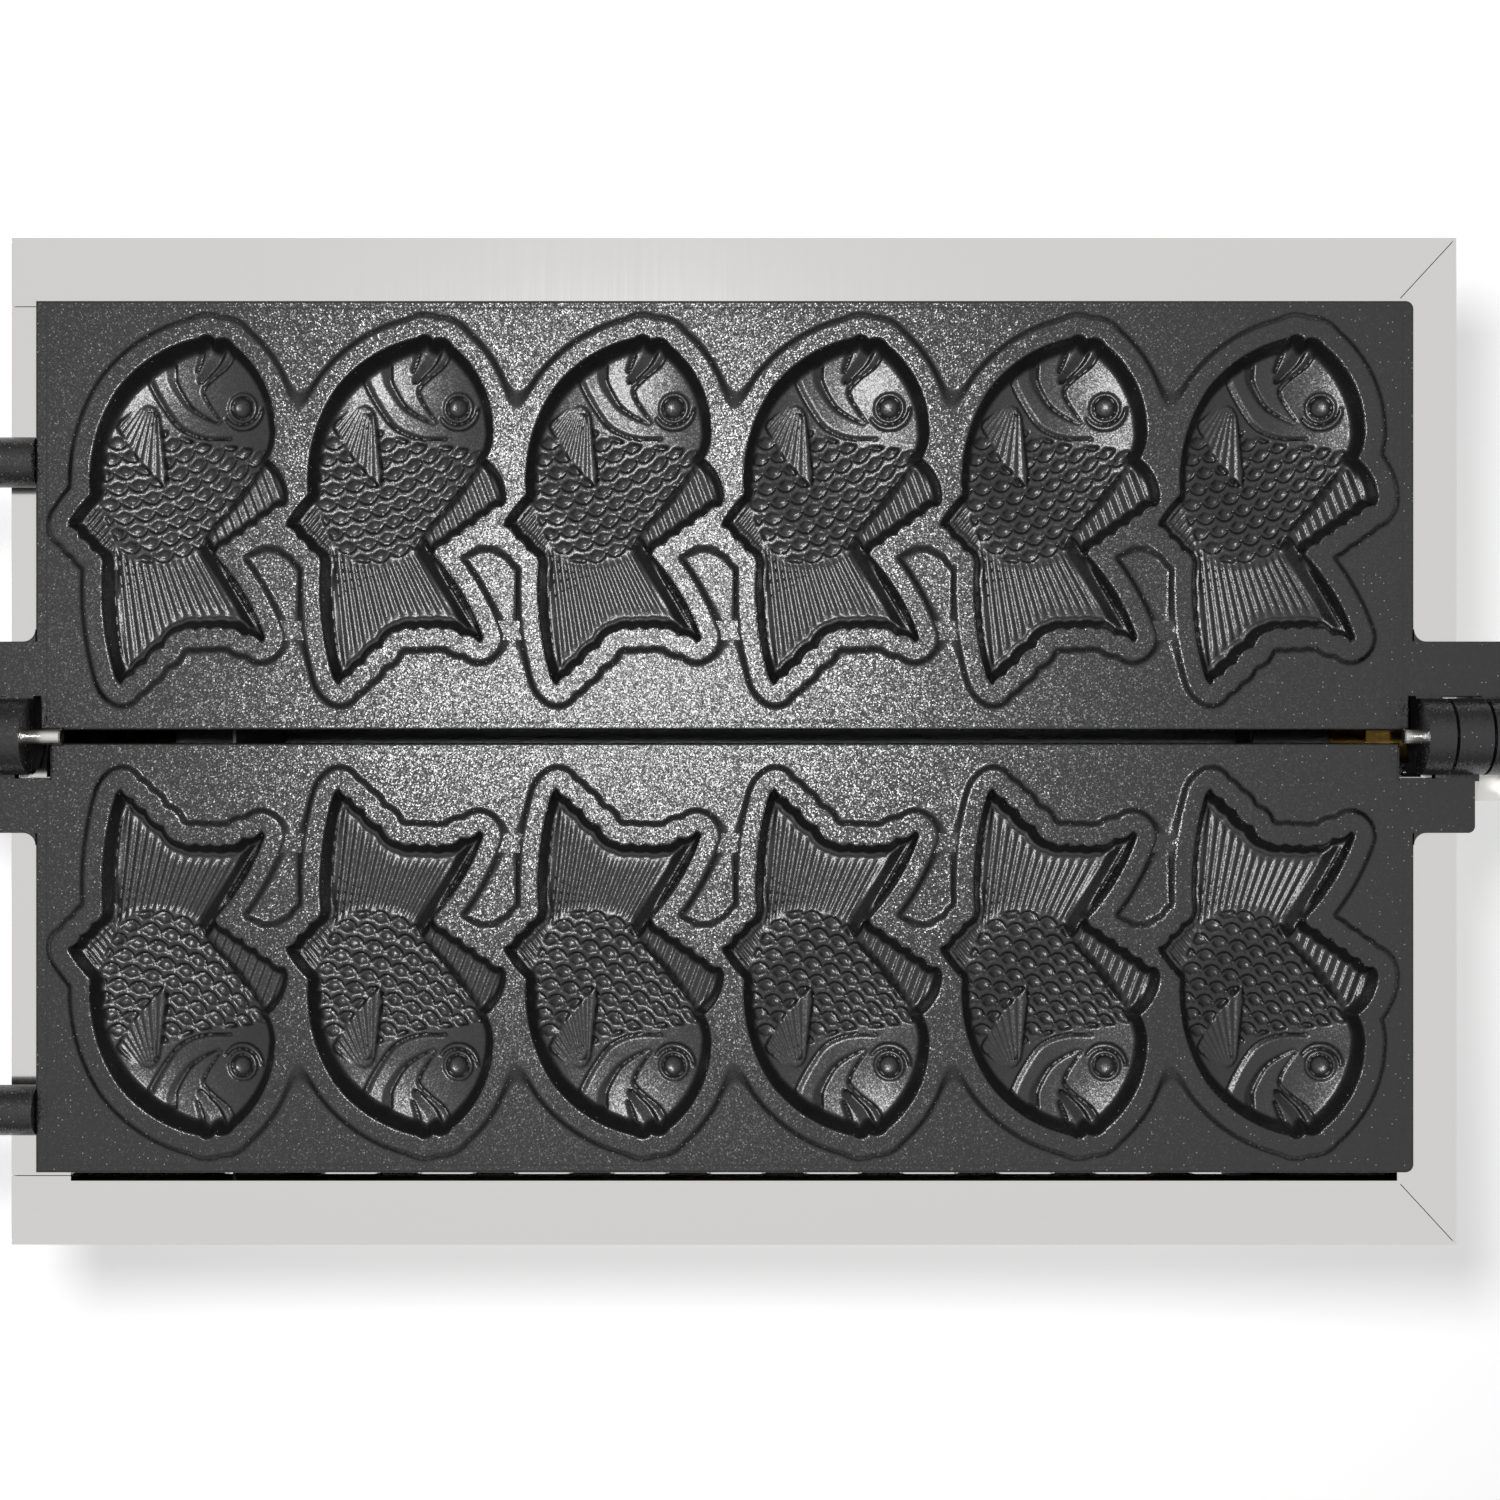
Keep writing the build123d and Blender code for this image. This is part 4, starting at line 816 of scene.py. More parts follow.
# The fish, in millimetres from its own middle and from the hinge line: the solid's outline with
# deeper scallops, clockwise from the root of the anal fin, as x, y, the arc's bulge and its scallops.
FISH_START = (-36.3, 89.0)
FISH_OUTLINE = (
    (-26.3, 127.7, 3.4, 1),  # belly
    (3.8, 146.6, 3.2, 1),  # throat
    (9.7, 146.0, 1.5, 1),  # lower lip
    (16.7, 143.9, 1.6, 1),  # upper lip
    (31.8, 114.3, 3.6, 1),  # forehead
    (29.3, 102.1, 1.0, 1),  # nape
    (36.6, 88.5, 1.6, 1),  # front of the dorsal fin
    (35.0, 84.2, 0.6, 1),  # its tip
    (10.1, 66.7, -1.5, 5),  # its scalloped edge
    (28.2, 36.5, 1.9, 1),  # upper edge of the tail
    (26.4, 34.3, 0.5, 1),  # upper tip
    (13.0, 39.2, -1.4, 2),  # wavy end of the tail
    (-2.6, 38.6, -1.0, 3),
    (-15.5, 26.4, -1.6, 2),
    (-24.6, 18.4, -1.2, 2),
    (-27.4, 22.0, 0.4, 1),  # lower tip
    (-31.7, 63.9, 1.9, 1),  # lower edge of the tail
    (-44.4, 77.0, -1.1, 3),  # scalloped anal fin
    (-43.3, 80.3, 0.4, 1),  # its tip
    (-36.3, 89.0, 0.3, 1),
)
# the foot of the tail's wide upper bank
TAIL_BANK = ((3.4, 65.5), (21.0, 38.4))
TAIL_END = ((27.5, 35.0), (13.0, 39.8), (-2.6, 39.2), (-15.5, 26.8), (-25.0, 18.6))

# where the scaled body ends against the tail and the fins; the far points lie outside the fish
BODY_EDGE = ((44.0, 108.0), (29.5, 102.0), (26.3, 97.8), (18.1, 86.7), (9.7, 77.5), (3.4, 67.0),
             (-4.0, 63.0), (-13.3, 61.8), (-22.0, 63.0), (-28.3, 67.3), (-33.2, 76.5), (-37.5, 90.0),
             (-50.0, 94.0), (-50.0, 158.0), (44.0, 158.0))
# the region of scales, which ends at the gill cover and beside the pectoral fin
SCALE_EDGE = ((-50.0, 111.0), (-33.0, 112.0), (-27.0, 113.5), (-12.5, 114.5), (-6.4, 113.2),
              (-1.2, 110.4), (5.0, 109.0), (12.5, 108.6), (20.0, 107.4), (31.0, 106.0), (44.0, 104.0),
              (44.0, 50.0), (-50.0, 50.0))
PECTORAL_FIN = ((-28.3, 114.6), (-27.2, 116.9), (-22.1, 120.9), (-16.9, 122.8), (-14.8, 121.8),
                (-13.3, 119.3), (-12.2, 112.6), (-11.7, 106.4), (-10.6, 98.6), (-11.1, 92.3),
                (-15.8, 97.1), (-20.5, 102.3), (-25.7, 110.0))

CHANNELS = (
    Channel(((-8.6, 137.4), (-8.4, 132.1), (-5.8, 126.9), (-2.3, 122.2), (2.9, 118.7), (8.3, 116.2)),
            2.2, 0.5, 1.2),
    Channel(((-17.0, 137.0), (-16.3, 132.0), (-14.0, 126.8), (-10.4, 120.8), (-6.4, 115.6), (-1.2, 112.5),
             (5.0, 111.0), (12.8, 110.9)), 1.6, 0.8, 1.1, -1.0),
    Channel(((14.7, 142.4), (12.1, 137.9), (7.0, 133.8), (2.9, 129.6), (3.1, 126.1), (5.6, 121.9),
             (9.2, 116.9)), 1.4, 0.5, 1.0),
    Channel(((11.4, 147.5), (8.1, 139.8), (4.1, 135.2), (1.7, 132.5)), 3.0, 1.7, 1.5),
    Channel(((4.1, 147.5), (2.5, 141.2), (0.7, 135.8)), 1.7, 1.0, 1.15),
)


@dataclass(frozen=True)
class FishRelief:
    """The face of one mould: a raised rim round a fish that is sunk into the plate."""

    # the rim that follows the fish, and the low bridges between the tails of two fish
    rim_band: float = 6.25
    rim_height: float = 2.0
    rim_slope: float = 2.0
    rim_round: float = 0.3
    rim_blur: float = 0.55
    merge_round: float = 10.0
    bridge_middle: tuple[float, float] = (37.5, 39.0)
    bridge_half: tuple[float, float] = (4.4, 3.6)
    bridge_drop: float = 0.4
    bridge_dip: float = 0.7
    bridge_round: float = 0.35
    bridge_ends: tuple[float, float] = (1.2, 1.8)
    # the mould's wall, from the rim's edge to the fish
    wall_setback: float = 0.25
    wall_draft: float = 21.0
    lip_round: float = 0.4
    root_round: float = 3.0
    # the tail and the two long fins
    tail_depth: float = 7.3
    tail_rib_degrees: float = 1.9
    tail_rib_centre: tuple[float, float] = (-34.1, 133.4)
    tail_rib_ends: tuple[float, float] = (4.0, 9.0)
    rib_depth: float = 0.8
    bank_slope: float = 0.95
    bank_round: float = 0.6
    fin_depth: float = 6.9
    edge_bead: float = 0.55
    edge_bead_at: float = 3.9
    edge_bead_half: float = 0.75
    edge_bead_end: float = 2.0
    # the body, with its scales, its head and the fin that lies on it
    body_rim_depth: float = 6.3
    body_bank: float = 2.8
    bowl_depth: float = 11.0
    bowl_curve: float = 205.0
    bowl_middles: tuple[float, float] = (100.0, 119.0)
    bowl_round: float = 1.6
    skin: ScaledSkin = ScaledSkin()
    skin_ends: tuple[float, float] = (1.6, 2.8)
    eye: Eye = Eye()
    pectoral_depth: float = 8.75
    pectoral_slope: float = 0.05
    pectoral_left: float = -28.3
    pectoral_rib: float = 0.5
    pectoral_rib_degrees: float = 6.4
    pectoral_rib_centre: tuple[float, float] = (-14.4, 129.0)
    pectoral_edge: float = 0.4
    # the solid's plain mould, whose floor the face stays above
    solid_floor: float = 8.05
    solid_bowl: float = 12.85
    solid_crease: float = 0.01
    solid_round: float = 0.3

    def outline(self) -> np.ndarray:
        """Lays points round the fish, a little over a millimetre apart.

        Returns:
            The points, one row each.
        """
        start = np.array(FISH_START)
        points: list[np.ndarray] = []
        for x, y, bulge, scallops in FISH_OUTLINE:
            end = np.array((x, y))
            for step in range(scallops):
                near = start + (end - start) * step / scallops
                far = start + (end - start) * (step + 1) / scallops
                points += arc_points(near, far, bulge)
            start = end
        return np.array(points)

    def tail(self, points: np.ndarray, gap: np.ndarray) -> np.ndarray:
        """Works out the floor under the tail and the two long fins, with their ribs.

        Args:
            points: Places in the fish.
            gap: How far each place lies inside the fish's outline.

        Returns:
            The depth at each place.
        """
        fade = ramp(path_distance(points, np.array(TAIL_END)), *self.tail_rib_ends)
        ribs = rounded_ribs(turn_about(points, self.tail_rib_centre) / self.tail_rib_degrees)
        floor = self.tail_depth - self.rib_depth * fade * ribs
        start, end = np.array(TAIL_BANK)
        along = (end - start) / np.hypot(*(end - start))
        beyond = (points - start) @ np.array((-along[1], along[0]))
        floor = smooth_min(floor, self.tail_depth - self.bank_slope * beyond, self.bank_round)
        for fin in (DORSAL_FIN, ANAL_FIN):
            ribs = lapped_ribs(points @ np.array(fin.rib_way) / fin.rib_pitch)
            on_fin = ramp(points @ np.array(fin.out_way), *fin.starts)
            floor = floor + on_fin * (self.fin_depth - self.rib_depth * ribs - floor)
        bead = hump((gap - self.edge_bead_at) / self.edge_bead_half)
        return floor - self.edge_bead * bead * ramp(-beyond, 0.0, self.edge_bead_end)

    def head(self, points: np.ndarray) -> np.ndarray:
        """Works out what the eye, the mouth and the gill covers add.

        Args:
            points: Places in the fish.

        Returns:
            The added depth at each place.
        """
        depth = self.eye.depth_at(points)
        for channel in CHANNELS:
            depth = np.maximum(depth, channel.depth_at(points))
        return depth

    def bowl(self, points: np.ndarray, level: float, depth: float, rounding: float) -> np.ndarray:
        """Sinks the two round dishes of the body into a level floor.

        Args:
            points: Places in the fish.
            level: The floor's depth.
            depth: The dishes' depth in their middles.
            rounding: How wide the meeting of dish and floor is rounded.

        Returns:
            The depth at each place.
        """
        floor = np.full(len(points), level)
        for middle in self.bowl_middles:
            away = points - np.array((0.0, middle))
            dish = depth - (away[:, 0] ** 2 + away[:, 1] ** 2) / self.bowl_curve
            floor = smooth_max(floor, dish, rounding)
        return floor

    def body(self, points: np.ndarray, inside: np.ndarray) -> np.ndarray:
        """Works out the scaled body, the head and the fin that lies on the body.

        Args:
            points: Places in the fish.
            inside: How far each place lies inside the body's edge.

        Returns:
            The depth at each place.
        """
        body = self.bowl(points, self.body_rim_depth, self.bowl_depth, self.bowl_round)
        scaled = ramp(-signed_distance(points, np.array(SCALE_EDGE)), 0.0, 1.0)
        scaled = scaled * ramp(inside, *self.skin_ends)
        body = body + np.maximum(self.skin.depth_at(points) * scaled, self.head(points))
        fin = self.pectoral_depth + self.pectoral_slope * (points[:, 0] - self.pectoral_left)
        turn = turn_about(points, self.pectoral_rib_centre)
        fin = fin - self.pectoral_rib * rounded_ribs(turn / self.pectoral_rib_degrees)
        from_edge = -signed_distance(points, np.array(PECTORAL_FIN))
        return body + ramp(from_edge, -self.pectoral_edge, self.pectoral_edge) * (fin - body)

    def depth(self, points: np.ndarray, gap: np.ndarray) -> np.ndarray:
        """Works out how deep the mould is, with its walls.

        Args:
            points: Places in the fish.
            gap: How far each place lies inside the fish's outline.

        Returns:
            The depth at each place.
        """
        inside = -signed_distance(points, np.array(BODY_EDGE))
        tail, body = self.tail(points, gap), self.body(points, inside)
        floor = tail + np.clip(inside / self.body_bank, 0.0, 1.0) * (body - tail)
        wall = (gap - self.wall_setback) / math.tan(math.radians(self.wall_draft))
        depth = smooth_min(wall, floor, self.root_round)
        depth = smooth_max(depth, np.zeros(len(depth)), self.lip_round)
        solid = self.bowl(points, self.solid_floor, self.solid_bowl, self.solid_crease)
        return smooth_min(depth, solid, self.solid_round)

    def rim(self, merged: np.ndarray) -> np.ndarray:
        """Works out the raised rim, which falls to the plate's flat face.

        Args:
            merged: The softened distance from each place to the nearest fish.

        Returns:
            The height at each place, 0 on the rim and negative beside it.
        """
        fall = (merged - self.rim_band) / self.rim_slope * self.rim_height
        fall = smooth_min(fall, np.full_like(fall, self.rim_height), self.rim_round)
        fall = smooth_max(fall, np.zeros_like(fall), self.rim_round)
        return -np.clip(fall, 0.0, self.rim_height)

    def bridges(self, rim: np.ndarray, x: np.ndarray, y: np.ndarray,
                neighbours: tuple[int, ...]) -> np.ndarray:
        """Adds the low bridges between the tails of two fish, which dip between the rims.

        Args:
            rim: The rim's height at each place.
            x: The places along the row, from the fish's middle.
            y: The places away from the hinge line.
            neighbours: Which fish lie beside this one: -1, 1 or both.

        Returns:
            The height with the bridges.
        """
        for shift in neighbours:
            middle = self.bridge_middle[0] + min(shift, 0) * FISH_PITCH
            across = np.abs(x - middle) / self.bridge_half[0]
            away = (y - self.bridge_middle[1]) / self.bridge_half[1]
            bridge = -self.bridge_drop - self.bridge_dip * hump(across)
            bridge = bridge - (self.rim_height - self.bridge_drop) * away**2
            bridge = bridge - 2 * self.rim_height * ramp(across, *self.bridge_ends)
            lowest = -self.rim_height - self.bridge_round
            rim = smooth_max(rim, np.maximum(bridge, lowest), self.bridge_round)
        return rim

    def height(self, across: np.ndarray, away: np.ndarray, neighbours: tuple[int, ...]) -> np.ndarray:
        """Works out the height of the mould's face above the top of its rims, negative below it.

        Args:
            across: Places along the row, from the fish's middle, at even steps.
            away: Places away from the hinge line, at the same steps.
            neighbours: Which fish lie beside this one: -1, 1 or both.

        Returns:
            The height at each place, one row for each place away from the hinge line. It lacks
            the outermost places, across which the rim's edges are softened.
        """
        width = self.rim_blur / (across[1] - across[0])
        reach = blur_reach(width)
        grid_x, grid_y = np.meshgrid(across, away)
        points = np.stack((grid_x.ravel(), grid_y.ravel()), axis=1)
        outline = self.outline()
        places = [points - np.array((FISH_PITCH * shift, 0.0)) for shift in (0, *neighbours)]
        distances = [signed_distance(place, outline) for place in places]
        merged = distances[0]
        for distance in distances[1:]:
            merged = smooth_min(merged, distance, self.merge_round)
        rim = self.rim(blurred(merged.reshape(grid_x.shape), width))
        inner = (slice(reach, -reach), slice(reach, -reach))
        height = self.bridges(rim, grid_x[inner], grid_y[inner], neighbours).ravel()
        kept = np.zeros(grid_x.shape, bool)
        kept[inner] = True
        kept = kept.ravel()
        for place, distance in zip(places, distances):
            sunk = distance[kept] < 0
            height[sunk] = -self.depth(place[kept][sunk], -distance[kept][sunk])
        return height.reshape(rim.shape)


@dataclass
class MouldPlate:
    """The face of one mould plate, in one piece per fish, laid over the plate's own casting."""

    side: Side
    relief: FishRelief
    step: float = 0.5
    near_y: float = 4.0
    far_y: float = 158.8
    front_edge: float = -53.8
    rear_edge: float = 47.4
    notch: float = 2.6
    notch_y: float = 16.5
    notch_ease: tuple[float, float] = (10.0, 3.0)
    proud: float = 0.05
    edge_sink: float = 0.1
    tuck: float = 1.5
    back_z: float = -9.2
    bowl_back_z: float = -14.3
    bowl_middle_y: float = 108.0
    bowl_half: tuple[float, float] = (34.0, 42.0)
    bowl_bank: float = 5.0
    coarse: float = 4.0
    crease_degrees: float = 60.0

    def span(self, index: int) -> tuple[float, float]:
        """Measures the fish's own stretch of the row.

        Args:
            index: The fish's number, from 0 at the handles' end.

        Returns:
            The stretch's two ends, from the fish's middle.
        """
        half = FISH_PITCH / 2
        low = self.front_edge if index == 0 else -half
        high = self.rear_edge if index == FISH_COUNT - 1 else half
        return low, high

    def neighbours(self, index: int) -> tuple[int, ...]:
        """Returns which fish lie beside this one: -1, 1 or both."""
        return tuple(shift for shift in (-1, 1) if 0 <= index + shift < FISH_COUNT)

    def heights(self, index: int, low: float, high: float, count_x: int, count_y: int) -> np.ndarray:
        """Works out the piece's face, which dips under the casting at the plate's own edges.

        Args:
            index: The fish's number.
            low: The piece's front end, from the fish's middle.
            high: Its rear end.
            count_x: How many steps it has along the row.
            count_y: How many steps it has away from the hinge line.

        Returns:
            The height at each place, one row for each place away from the hinge line.
        """
        step_x, step_y = (high - low) / count_x, (self.far_y - self.near_y) / count_y
        reach = blur_reach(self.relief.rim_blur / step_x)
        across = low + step_x * np.arange(-reach, count_x + 1 + reach)
        away = self.near_y + step_y * np.arange(-reach, count_y + 1 + reach)
        height = self.relief.height(across, away, self.neighbours(index))
        x, y = across[reach:-reach], away[reach:-reach]
        edge = np.minimum(y - self.near_y, self.far_y - y)[:, None] + np.zeros(count_x + 1)
        if index == 0:
            edge = np.minimum(edge, x - low)
        if index == FISH_COUNT - 1:
            edge = np.minimum(edge, high - x)
        return height + (self.proud + self.edge_sink) * ramp(edge, 0.0, self.tuck) - self.edge_sink

    def beside_notch(self, index: int, points: np.ndarray) -> np.ndarray:
        """Draws the corners beside the knuckles in, where the right plate is notched.

        Args:
            index: The fish's number.
            points: Places on the piece.

        Returns:
            The places, moved beside the notch.
        """
        places = points.copy()
        if self.side is Side.LEFT:
            return places
        ease_x, ease_y = self.notch_ease
        inward = self.notch * (1 - ramp(points[:, 1], self.notch_y, self.notch_y + ease_y))
        if index == 0:
            places[:, 0] += inward * np.clip((self.front_edge + ease_x - points[:, 0]) / ease_x, 0.0, 1.0)
        if index == FISH_COUNT - 1:
            places[:, 0] -= inward * np.clip((points[:, 0] - self.rear_edge + ease_x) / ease_x, 0.0, 1.0)
        return places

    def close_back(self, shape: bmesh.types.BMesh, low: float, high: float) -> None:
        """Closes the sheet with walls and a coarse back that stays inside the casting.

        Args:
            shape: The sheet, in millimetres.
            low: Its front end, from the fish's middle.
            high: Its rear end.
        """
        rim = [e for e in shape.edges if e.is_boundary]
        walls = bmesh.ops.extrude_edge_only(shape, edges=rim)["geom"]
        for item in walls:
            if isinstance(item, bmesh.types.BMVert):
                item.co.z = self.back_z
        ring = [e for e in shape.edges if e.is_boundary]
        before = set(shape.verts)
        inset = self.coarse
        size_x, size_y = high - low - 2 * inset, self.far_y - self.near_y - 2 * inset
        bmesh.ops.create_grid(shape, x_segments=round(size_x / self.coarse),
                              y_segments=round(size_y / self.coarse), size=0.5)
        for vert in set(shape.verts) - before:
            x = (vert.co.x + 0.5) * size_x + low + inset
            y = (vert.co.y + 0.5) * size_y + self.near_y + inset
            inside = min(self.bowl_half[0] - abs(x), self.bowl_half[1] - abs(y - self.bowl_middle_y))
            share = min(max(inside / self.bowl_bank, 0.0), 1.0)
            vert.co = (x, y, self.back_z + share * (self.bowl_back_z - self.back_z))
        inner = [e for e in shape.edges if e.is_boundary and e not in set(ring)]
        bmesh.ops.bridge_loops(shape, edges=ring + inner)

    def face(self, index: int) -> bpy.types.Object:
        """Builds the face round one fish: a fine sheet closed by a coarse back inside the casting.

        Args:
            index: The fish's number.

        Returns:
            The new piece, in place.
        """
        low, high = self.span(index)
        count_x = round((high - low) / self.step)
        count_y = round((self.far_y - self.near_y) / self.step)
        shape = bmesh.new()
        bmesh.ops.create_grid(shape, x_segments=count_x, y_segments=count_y, size=0.5)
        flat = np.array([v.co[:2] for v in shape.verts]) + 0.5
        columns = np.rint(flat[:, 0] * count_x).astype(int)
        rows = np.rint(flat[:, 1] * count_y).astype(int)
        points = flat * (high - low, self.far_y - self.near_y) + (low, self.near_y)
        places = self.beside_notch(index, points)
        height = self.heights(index, low, high, count_x, count_y)[rows, columns]
        for vert, (x, y), z in zip(shape.verts, places, height):
            vert.co = (x, y, z)
        self.close_back(shape, low, high)
        centre = ROW_CENTRE_X + FISH_PITCH * (index - (FISH_COUNT - 1) / 2)
        mirror = Matrix.Diagonal((1, self.side.value, 1, 1))
        place = Matrix.Translation(Vector((centre, HINGE_Y, RIM_TOP_Z)) * MM)
        shape.transform(place @ Matrix.Scale(MM, 4) @ mirror)
        bmesh.ops.recalc_face_normals(shape, faces=shape.faces)
        return piece_from(shape, f"{self.side.word}_mould_face_{index + 1}", self.crease_degrees)

    def build(self) -> None:
        """Builds all the faces of this plate's row of fish."""
        for index in range(FISH_COUNT):
            face = self.face(index)
            finish_piece(face, COATING, f"{self.side.word}_plate")


@dataclass
class Handle:
    """One handle: a moulded grip that swells in the middle, and a domed end cap."""

    side: Side
    axis_y: float
    axis_z: float = 204.8
    start_x: float = -239.05
    length: float = 116.0
    radius: float = 14.0
    neck: float = 11.5
    bore: float = 5.06
    cap_length: float = 9.0
    cap_radius: float = 8.0
    cap_bevel: float = 0.6
    dome_height: float = 4.0
    dome_turn: float = 1.45

    def grip_profile(self) -> list[tuple[float, float]]:
        """Draws half the grip's section.

        Returns:
            Points (x, radius) from the plate's end to the cap's.
        """
        start, end = self.start_x, self.start_x - self.length
        swell = eased([(start - 2.0, self.neck), (start - 16.0, self.neck + 0.1),
                       (start - 38.0, self.radius - 0.9), (start - 70.0, self.radius),
                       (end + 14.0, self.radius - 0.5), (end + 4.5, self.radius - 1.6),
                       (end + 1.2, self.radius - 3.4)], 10)
        return [(start, self.bore), (start, self.neck - 1.4), (start - 0.6, self.neck - 0.5), *swell,
                (end, self.radius - 4.6), (end, self.bore)]

    def cap_profile(self) -> list[tuple[float, float]]:
        """Draws half the cap's section: a short bevelled cylinder with a low dome.

        Returns:
            Points (x, radius) from the grip's end outwards.
        """
        near = self.start_x - self.length
        far = near - self.cap_length + self.dome_height
        dome = [(far - self.dome_height * math.sin(a), self.cap_radius * math.cos(a))
                for a in np.linspace(0, self.dome_turn, 9)]
        return [(near, self.cap_radius - self.cap_bevel), (near - self.cap_bevel, self.cap_radius),
                (far + self.cap_bevel, self.cap_radius), *dome]

    def build(self) -> None:
        """Builds the grip and the cap in place of their plain solids."""
        word = self.side.word
        grip = turned(self.grip_profile(), self.axis_y, self.axis_z, f"{word}_grip_moulding")
        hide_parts(f"{word}_handle_grip")
        finish_piece(grip, PHENOLIC, f"{word}_plate")
        cap = turned(self.cap_profile(), self.axis_y, self.axis_z, f"{word}_domed_cap")
        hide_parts(f"{word}_grip_cap")
        finish_piece(cap, BRIGHT_STEEL, f"{word}_plate")


@dataclass
class GasControls:
    """The knob and its marked ring on the control panel, for one burner."""

    side: Side
    axis_y: float
    ring_x: float = FRONT_X - BEZEL_THICKNESS
    tick_inner: float = 22.0
    tick_outer: float = 25.0
    tick_width: float = 0.7
    long_tick_extra: float = 1.2
    long_tick_every: int = 3
    print_height: float = 0.08
    first_degrees: float = 90.0
    last_degrees: float = -90.0
    ticks: int = 13
    knob_rounding: float = 0.45
    knob_crease_degrees: float = 34.0
    ring_rounding: float = 0.3

    def tick(self, shape: bmesh.types.BMesh, degrees: float, long: bool) -> None:
        """Adds one printed line of the ring's scale.

        Args:
            shape: The scale so far.
            degrees: Where the line stands on the ring.
            long: Whether it is one of the long lines.
        """
        inner = self.tick_inner - (self.long_tick_extra if long else 0.0)
        size = Matrix.Diagonal((self.print_height, self.tick_width, self.tick_outer - inner, 1))
        out = Matrix.Translation((0, 0, (self.tick_outer + inner) / 2))
        turn = Matrix.Rotation(math.radians(degrees - 90.0), 4, "X")
        place = Matrix.Translation((self.ring_x - self.print_height / 2, self.axis_y, VALVE_Z))
        bmesh.ops.create_cube(shape, size=1.0, matrix=Matrix.Scale(MM, 4) @ place @ turn @ out @ size)

    def build(self) -> None:
        """Builds the knob and the ring with softened edges, and the ring's scale."""
        word = self.side.word
        knob = softened(f"gas_knob_{word}", self.knob_rounding, self.knob_crease_degrees)
        finish_piece(knob, PHENOLIC, f"{word}_gas_knob")
        ring = softened(f"knob_bezel_{word}", self.ring_rounding)
        finish_piece(ring, PLATE_STEEL, "body")
        shape = bmesh.new()
        for number in range(self.ticks):
            share = number / (self.ticks - 1)
            degrees = self.first_degrees + share * (self.last_degrees - self.first_degrees)
            self.tick(shape, degrees, number % self.long_tick_every == 0)
        scale = piece_from(shape, f"{word}_knob_scale")
        finish_piece(scale, MARKING, "body")


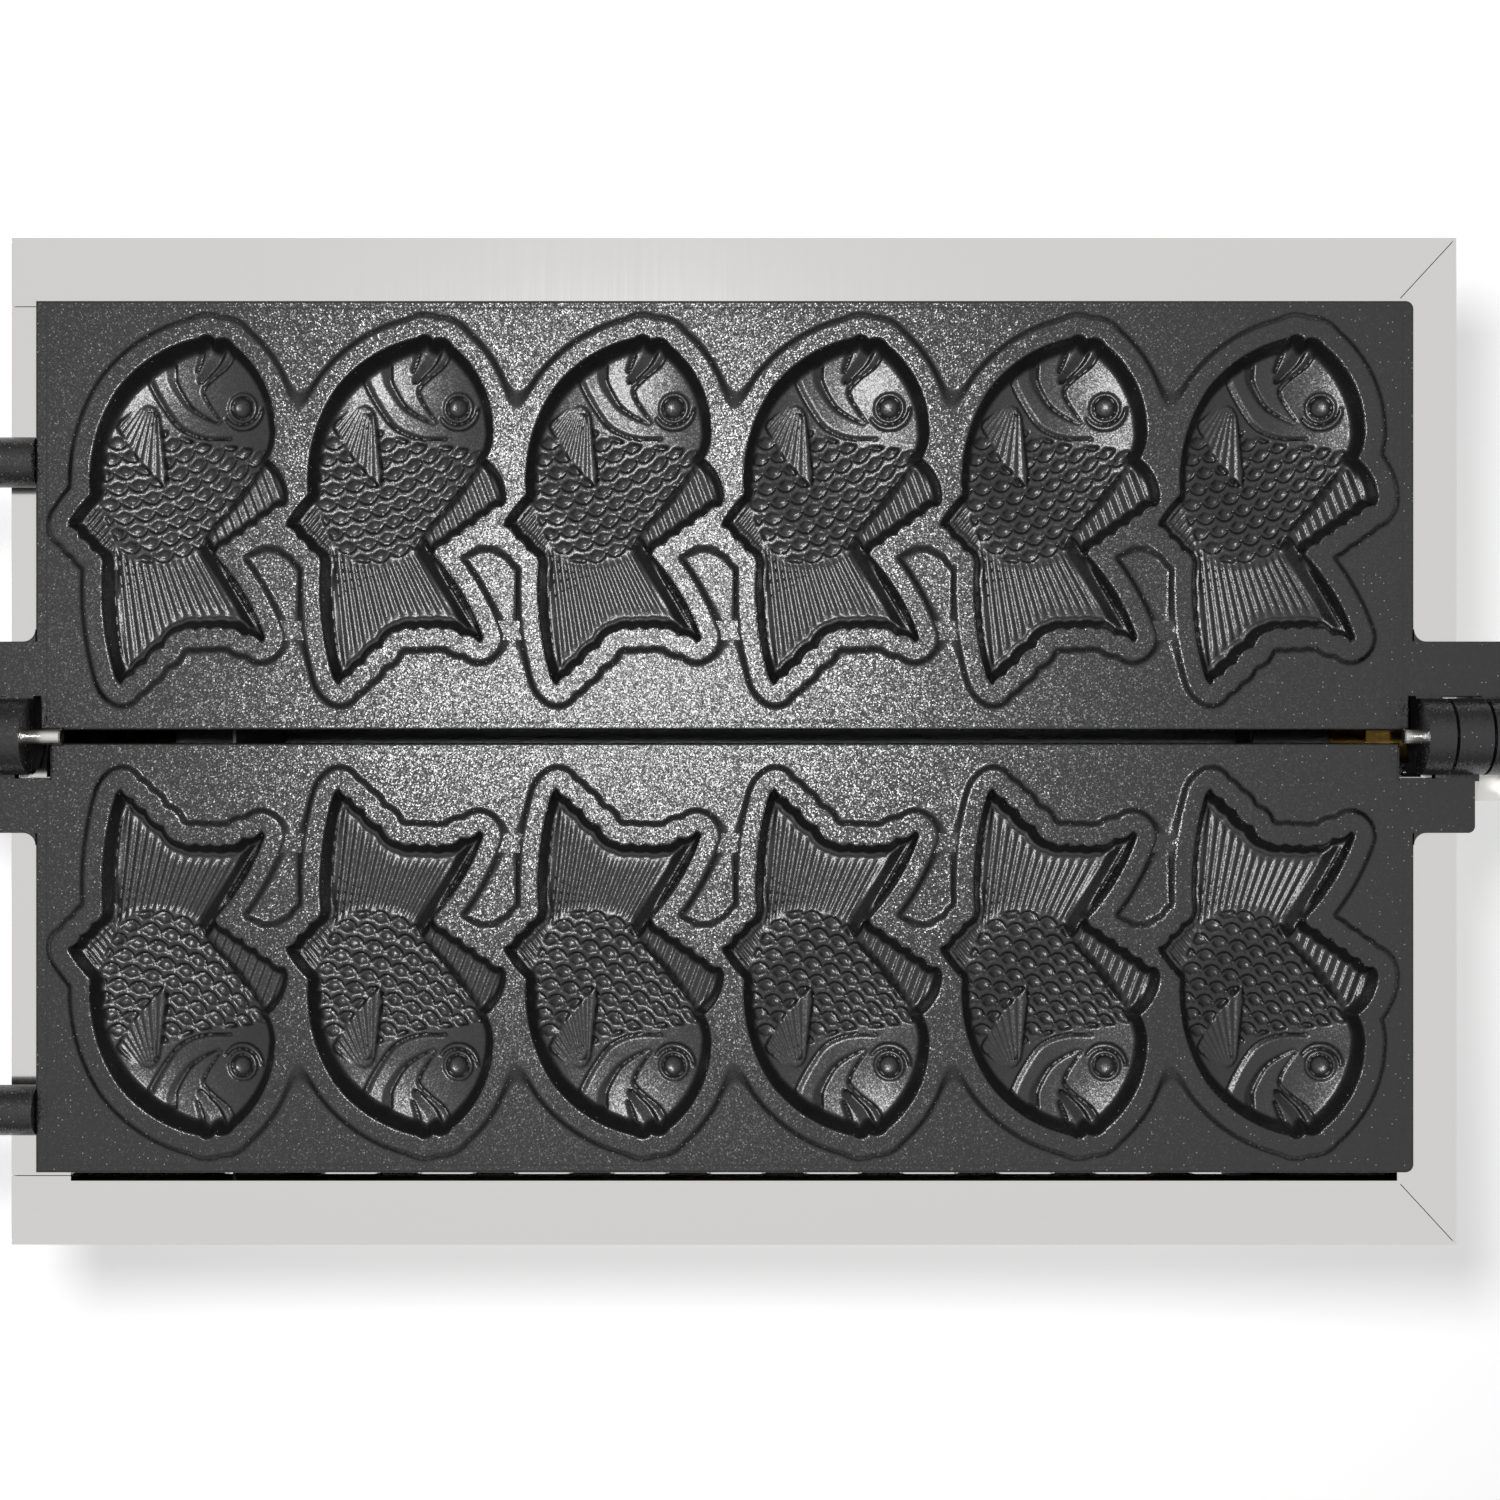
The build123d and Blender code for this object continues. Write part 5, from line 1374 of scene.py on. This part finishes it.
# ------------------------------------------------------------------ what is round the object
@dataclass
class Studio:
    """A pale floor, a soft lamp beside the camera and the photograph's view."""

    # places in millimetres
    camera_place: tuple[float, float, float] = (69.75, -3.3, 981.3)
    lamp_place: tuple[float, float, float] = (-25.0, 107.0, 1000.0)
    # the lens, from the photograph's width in pixels
    focal_px: float = 2100.0
    photo_px: float = 1500.0
    sensor_mm: float = 36.0
    # sizes in metres, and strengths
    view_end: float = 20.0
    lamp_size: float = 0.16
    lamp_watts: float = 6.4
    fill: float = 0.10
    horizon: float = 0.3
    horizon_fade: tuple[float, float] = (0.3, 0.8)
    floor_half: float = 4.0
    floor_glow: float = 0.56
    glow_fade: tuple[float, float] = (0.55, 1.65)

    def seen(self, tree: bpy.types.NodeTree) -> bpy.types.NodeSocket:
        """Tells the rays that the camera, metal or glass looks along from the others.

        Args:
            tree: The node tree that asks.

        Returns:
            A socket that holds 1 for those rays and 0 for the others.
        """
        path = add_node(tree, "LightPath").outputs
        either = add_node(tree, "Math", links={0: path["Is Camera Ray"], 1: path["Is Glossy Ray"]},
                          operation="MAXIMUM")
        return add_node(tree, "Math", links={0: either.outputs[0], 1: path["Is Transmission Ray"]},
                        operation="MAXIMUM").outputs[0]

    def camera(self) -> None:
        """Sets the camera straight above the open plates."""
        data = bpy.data.cameras.new("photo_camera")
        data.sensor_width = self.sensor_mm
        data.lens = self.focal_px / self.photo_px * self.sensor_mm
        data.clip_end = self.view_end
        camera = bpy.data.objects.new("photo_camera", data)
        camera.location = Vector(self.camera_place) * MM
        bpy.context.scene.collection.objects.link(camera)
        bpy.context.scene.camera = camera

    def lamp(self) -> None:
        """Hangs the soft lamp beside the camera."""
        data = bpy.data.lights.new("overhead_softbox", "AREA")
        data.shape = "DISK"
        data.size = self.lamp_size
        data.energy = self.lamp_watts
        lamp = bpy.data.objects.new("overhead_softbox", data)
        lamp.location = Vector(self.lamp_place) * MM
        bpy.context.scene.collection.objects.link(lamp)

    def surroundings(self) -> None:
        """Adds an even fill, behind which metal sees a white room that darkens to its horizon."""
        world = bpy.data.worlds.new("studio")
        bpy.context.scene.world = world
        world.use_nodes = True
        tree = world.node_tree
        tree.nodes.clear()
        path = add_node(tree, "LightPath").outputs
        way = add_node(tree, "TexCoord").outputs["Generated"]
        height = add_node(tree, "SeparateXYZ", links={"Vector": way}).outputs["Z"]
        low, high = self.horizon_fade
        mirrored = add_node(tree, "MapRange",
                            {"From Min": low, "From Max": high, "To Min": self.horizon},
                            {"Value": height}).outputs["Result"]
        shown = add_node(tree, "Math", links={0: mirrored, 1: path["Is Camera Ray"]}, operation="MAXIMUM")
        strength = add_node(tree, "Mix", {"A": self.fill},
                            {"Factor": self.seen(tree), "B": shown.outputs[0]})
        background = add_node(tree, "Background", {"Color": (1, 1, 1, 1)},
                              {"Strength": strength.outputs["Result"]})
        add_node(tree, "OutputWorld", links={"Surface": background.outputs[0]})

    def floor(self) -> None:
        """Lays the white floor, which keeps the maker's shadow and fades into the background."""
        shape = bmesh.new()
        bmesh.ops.create_grid(shape, x_segments=1, y_segments=1, size=self.floor_half)
        floor = piece_from(shape, "studio_floor")
        material = FLOOR_PAINT.material()
        tree = material.node_tree
        place = add_node(tree, "TexCoord").outputs["Object"]
        away = add_node(tree, "VectorMath", links={0: place}, operation="LENGTH").outputs["Value"]
        near, far = self.glow_fade
        glow = add_node(tree, "MapRange",
                        {"From Min": near, "From Max": far, "To Min": self.floor_glow, "To Max": 1.0},
                        {"Value": away})
        shown = add_node(tree, "Math", links={0: self.seen(tree), 1: glow.outputs["Result"]},
                         operation="MULTIPLY")
        shader = tree.nodes["Principled BSDF"]
        shader.inputs["Emission Color"].default_value = (1, 1, 1, 1)
        tree.links.new(shown.outputs[0], shader.inputs["Emission Strength"])
        floor.data.materials.append(material)

    def build(self) -> None:
        """Sets up the view, the light and the floor."""
        self.camera()
        self.lamp()
        self.surroundings()
        self.floor()
        bpy.context.scene.view_settings.view_transform = "Standard"


def dress_nodes() -> None:
    """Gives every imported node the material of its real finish."""
    for finish, nodes in NODE_FINISHES.items():
        for name in nodes:
            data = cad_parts[name].data
            data.materials.clear()
            data.materials.append(finish.material())


def main() -> None:
    """Builds the maker's looks piece by piece."""
    logging.basicConfig(level=logging.INFO, format="%(message)s")
    Studio().build()
    dress_nodes()
    relief = FishRelief()
    for side in Side:
        MouldPlate(side, relief).build()
    Handle(Side.LEFT, LEFT_HANDLE_Y).build()
    Handle(Side.RIGHT, RIGHT_HANDLE_Y).build()
    for side in Side:
        GasControls(side, side.value * VALVE_Y).build()


if __name__ == "__main__":
    main()
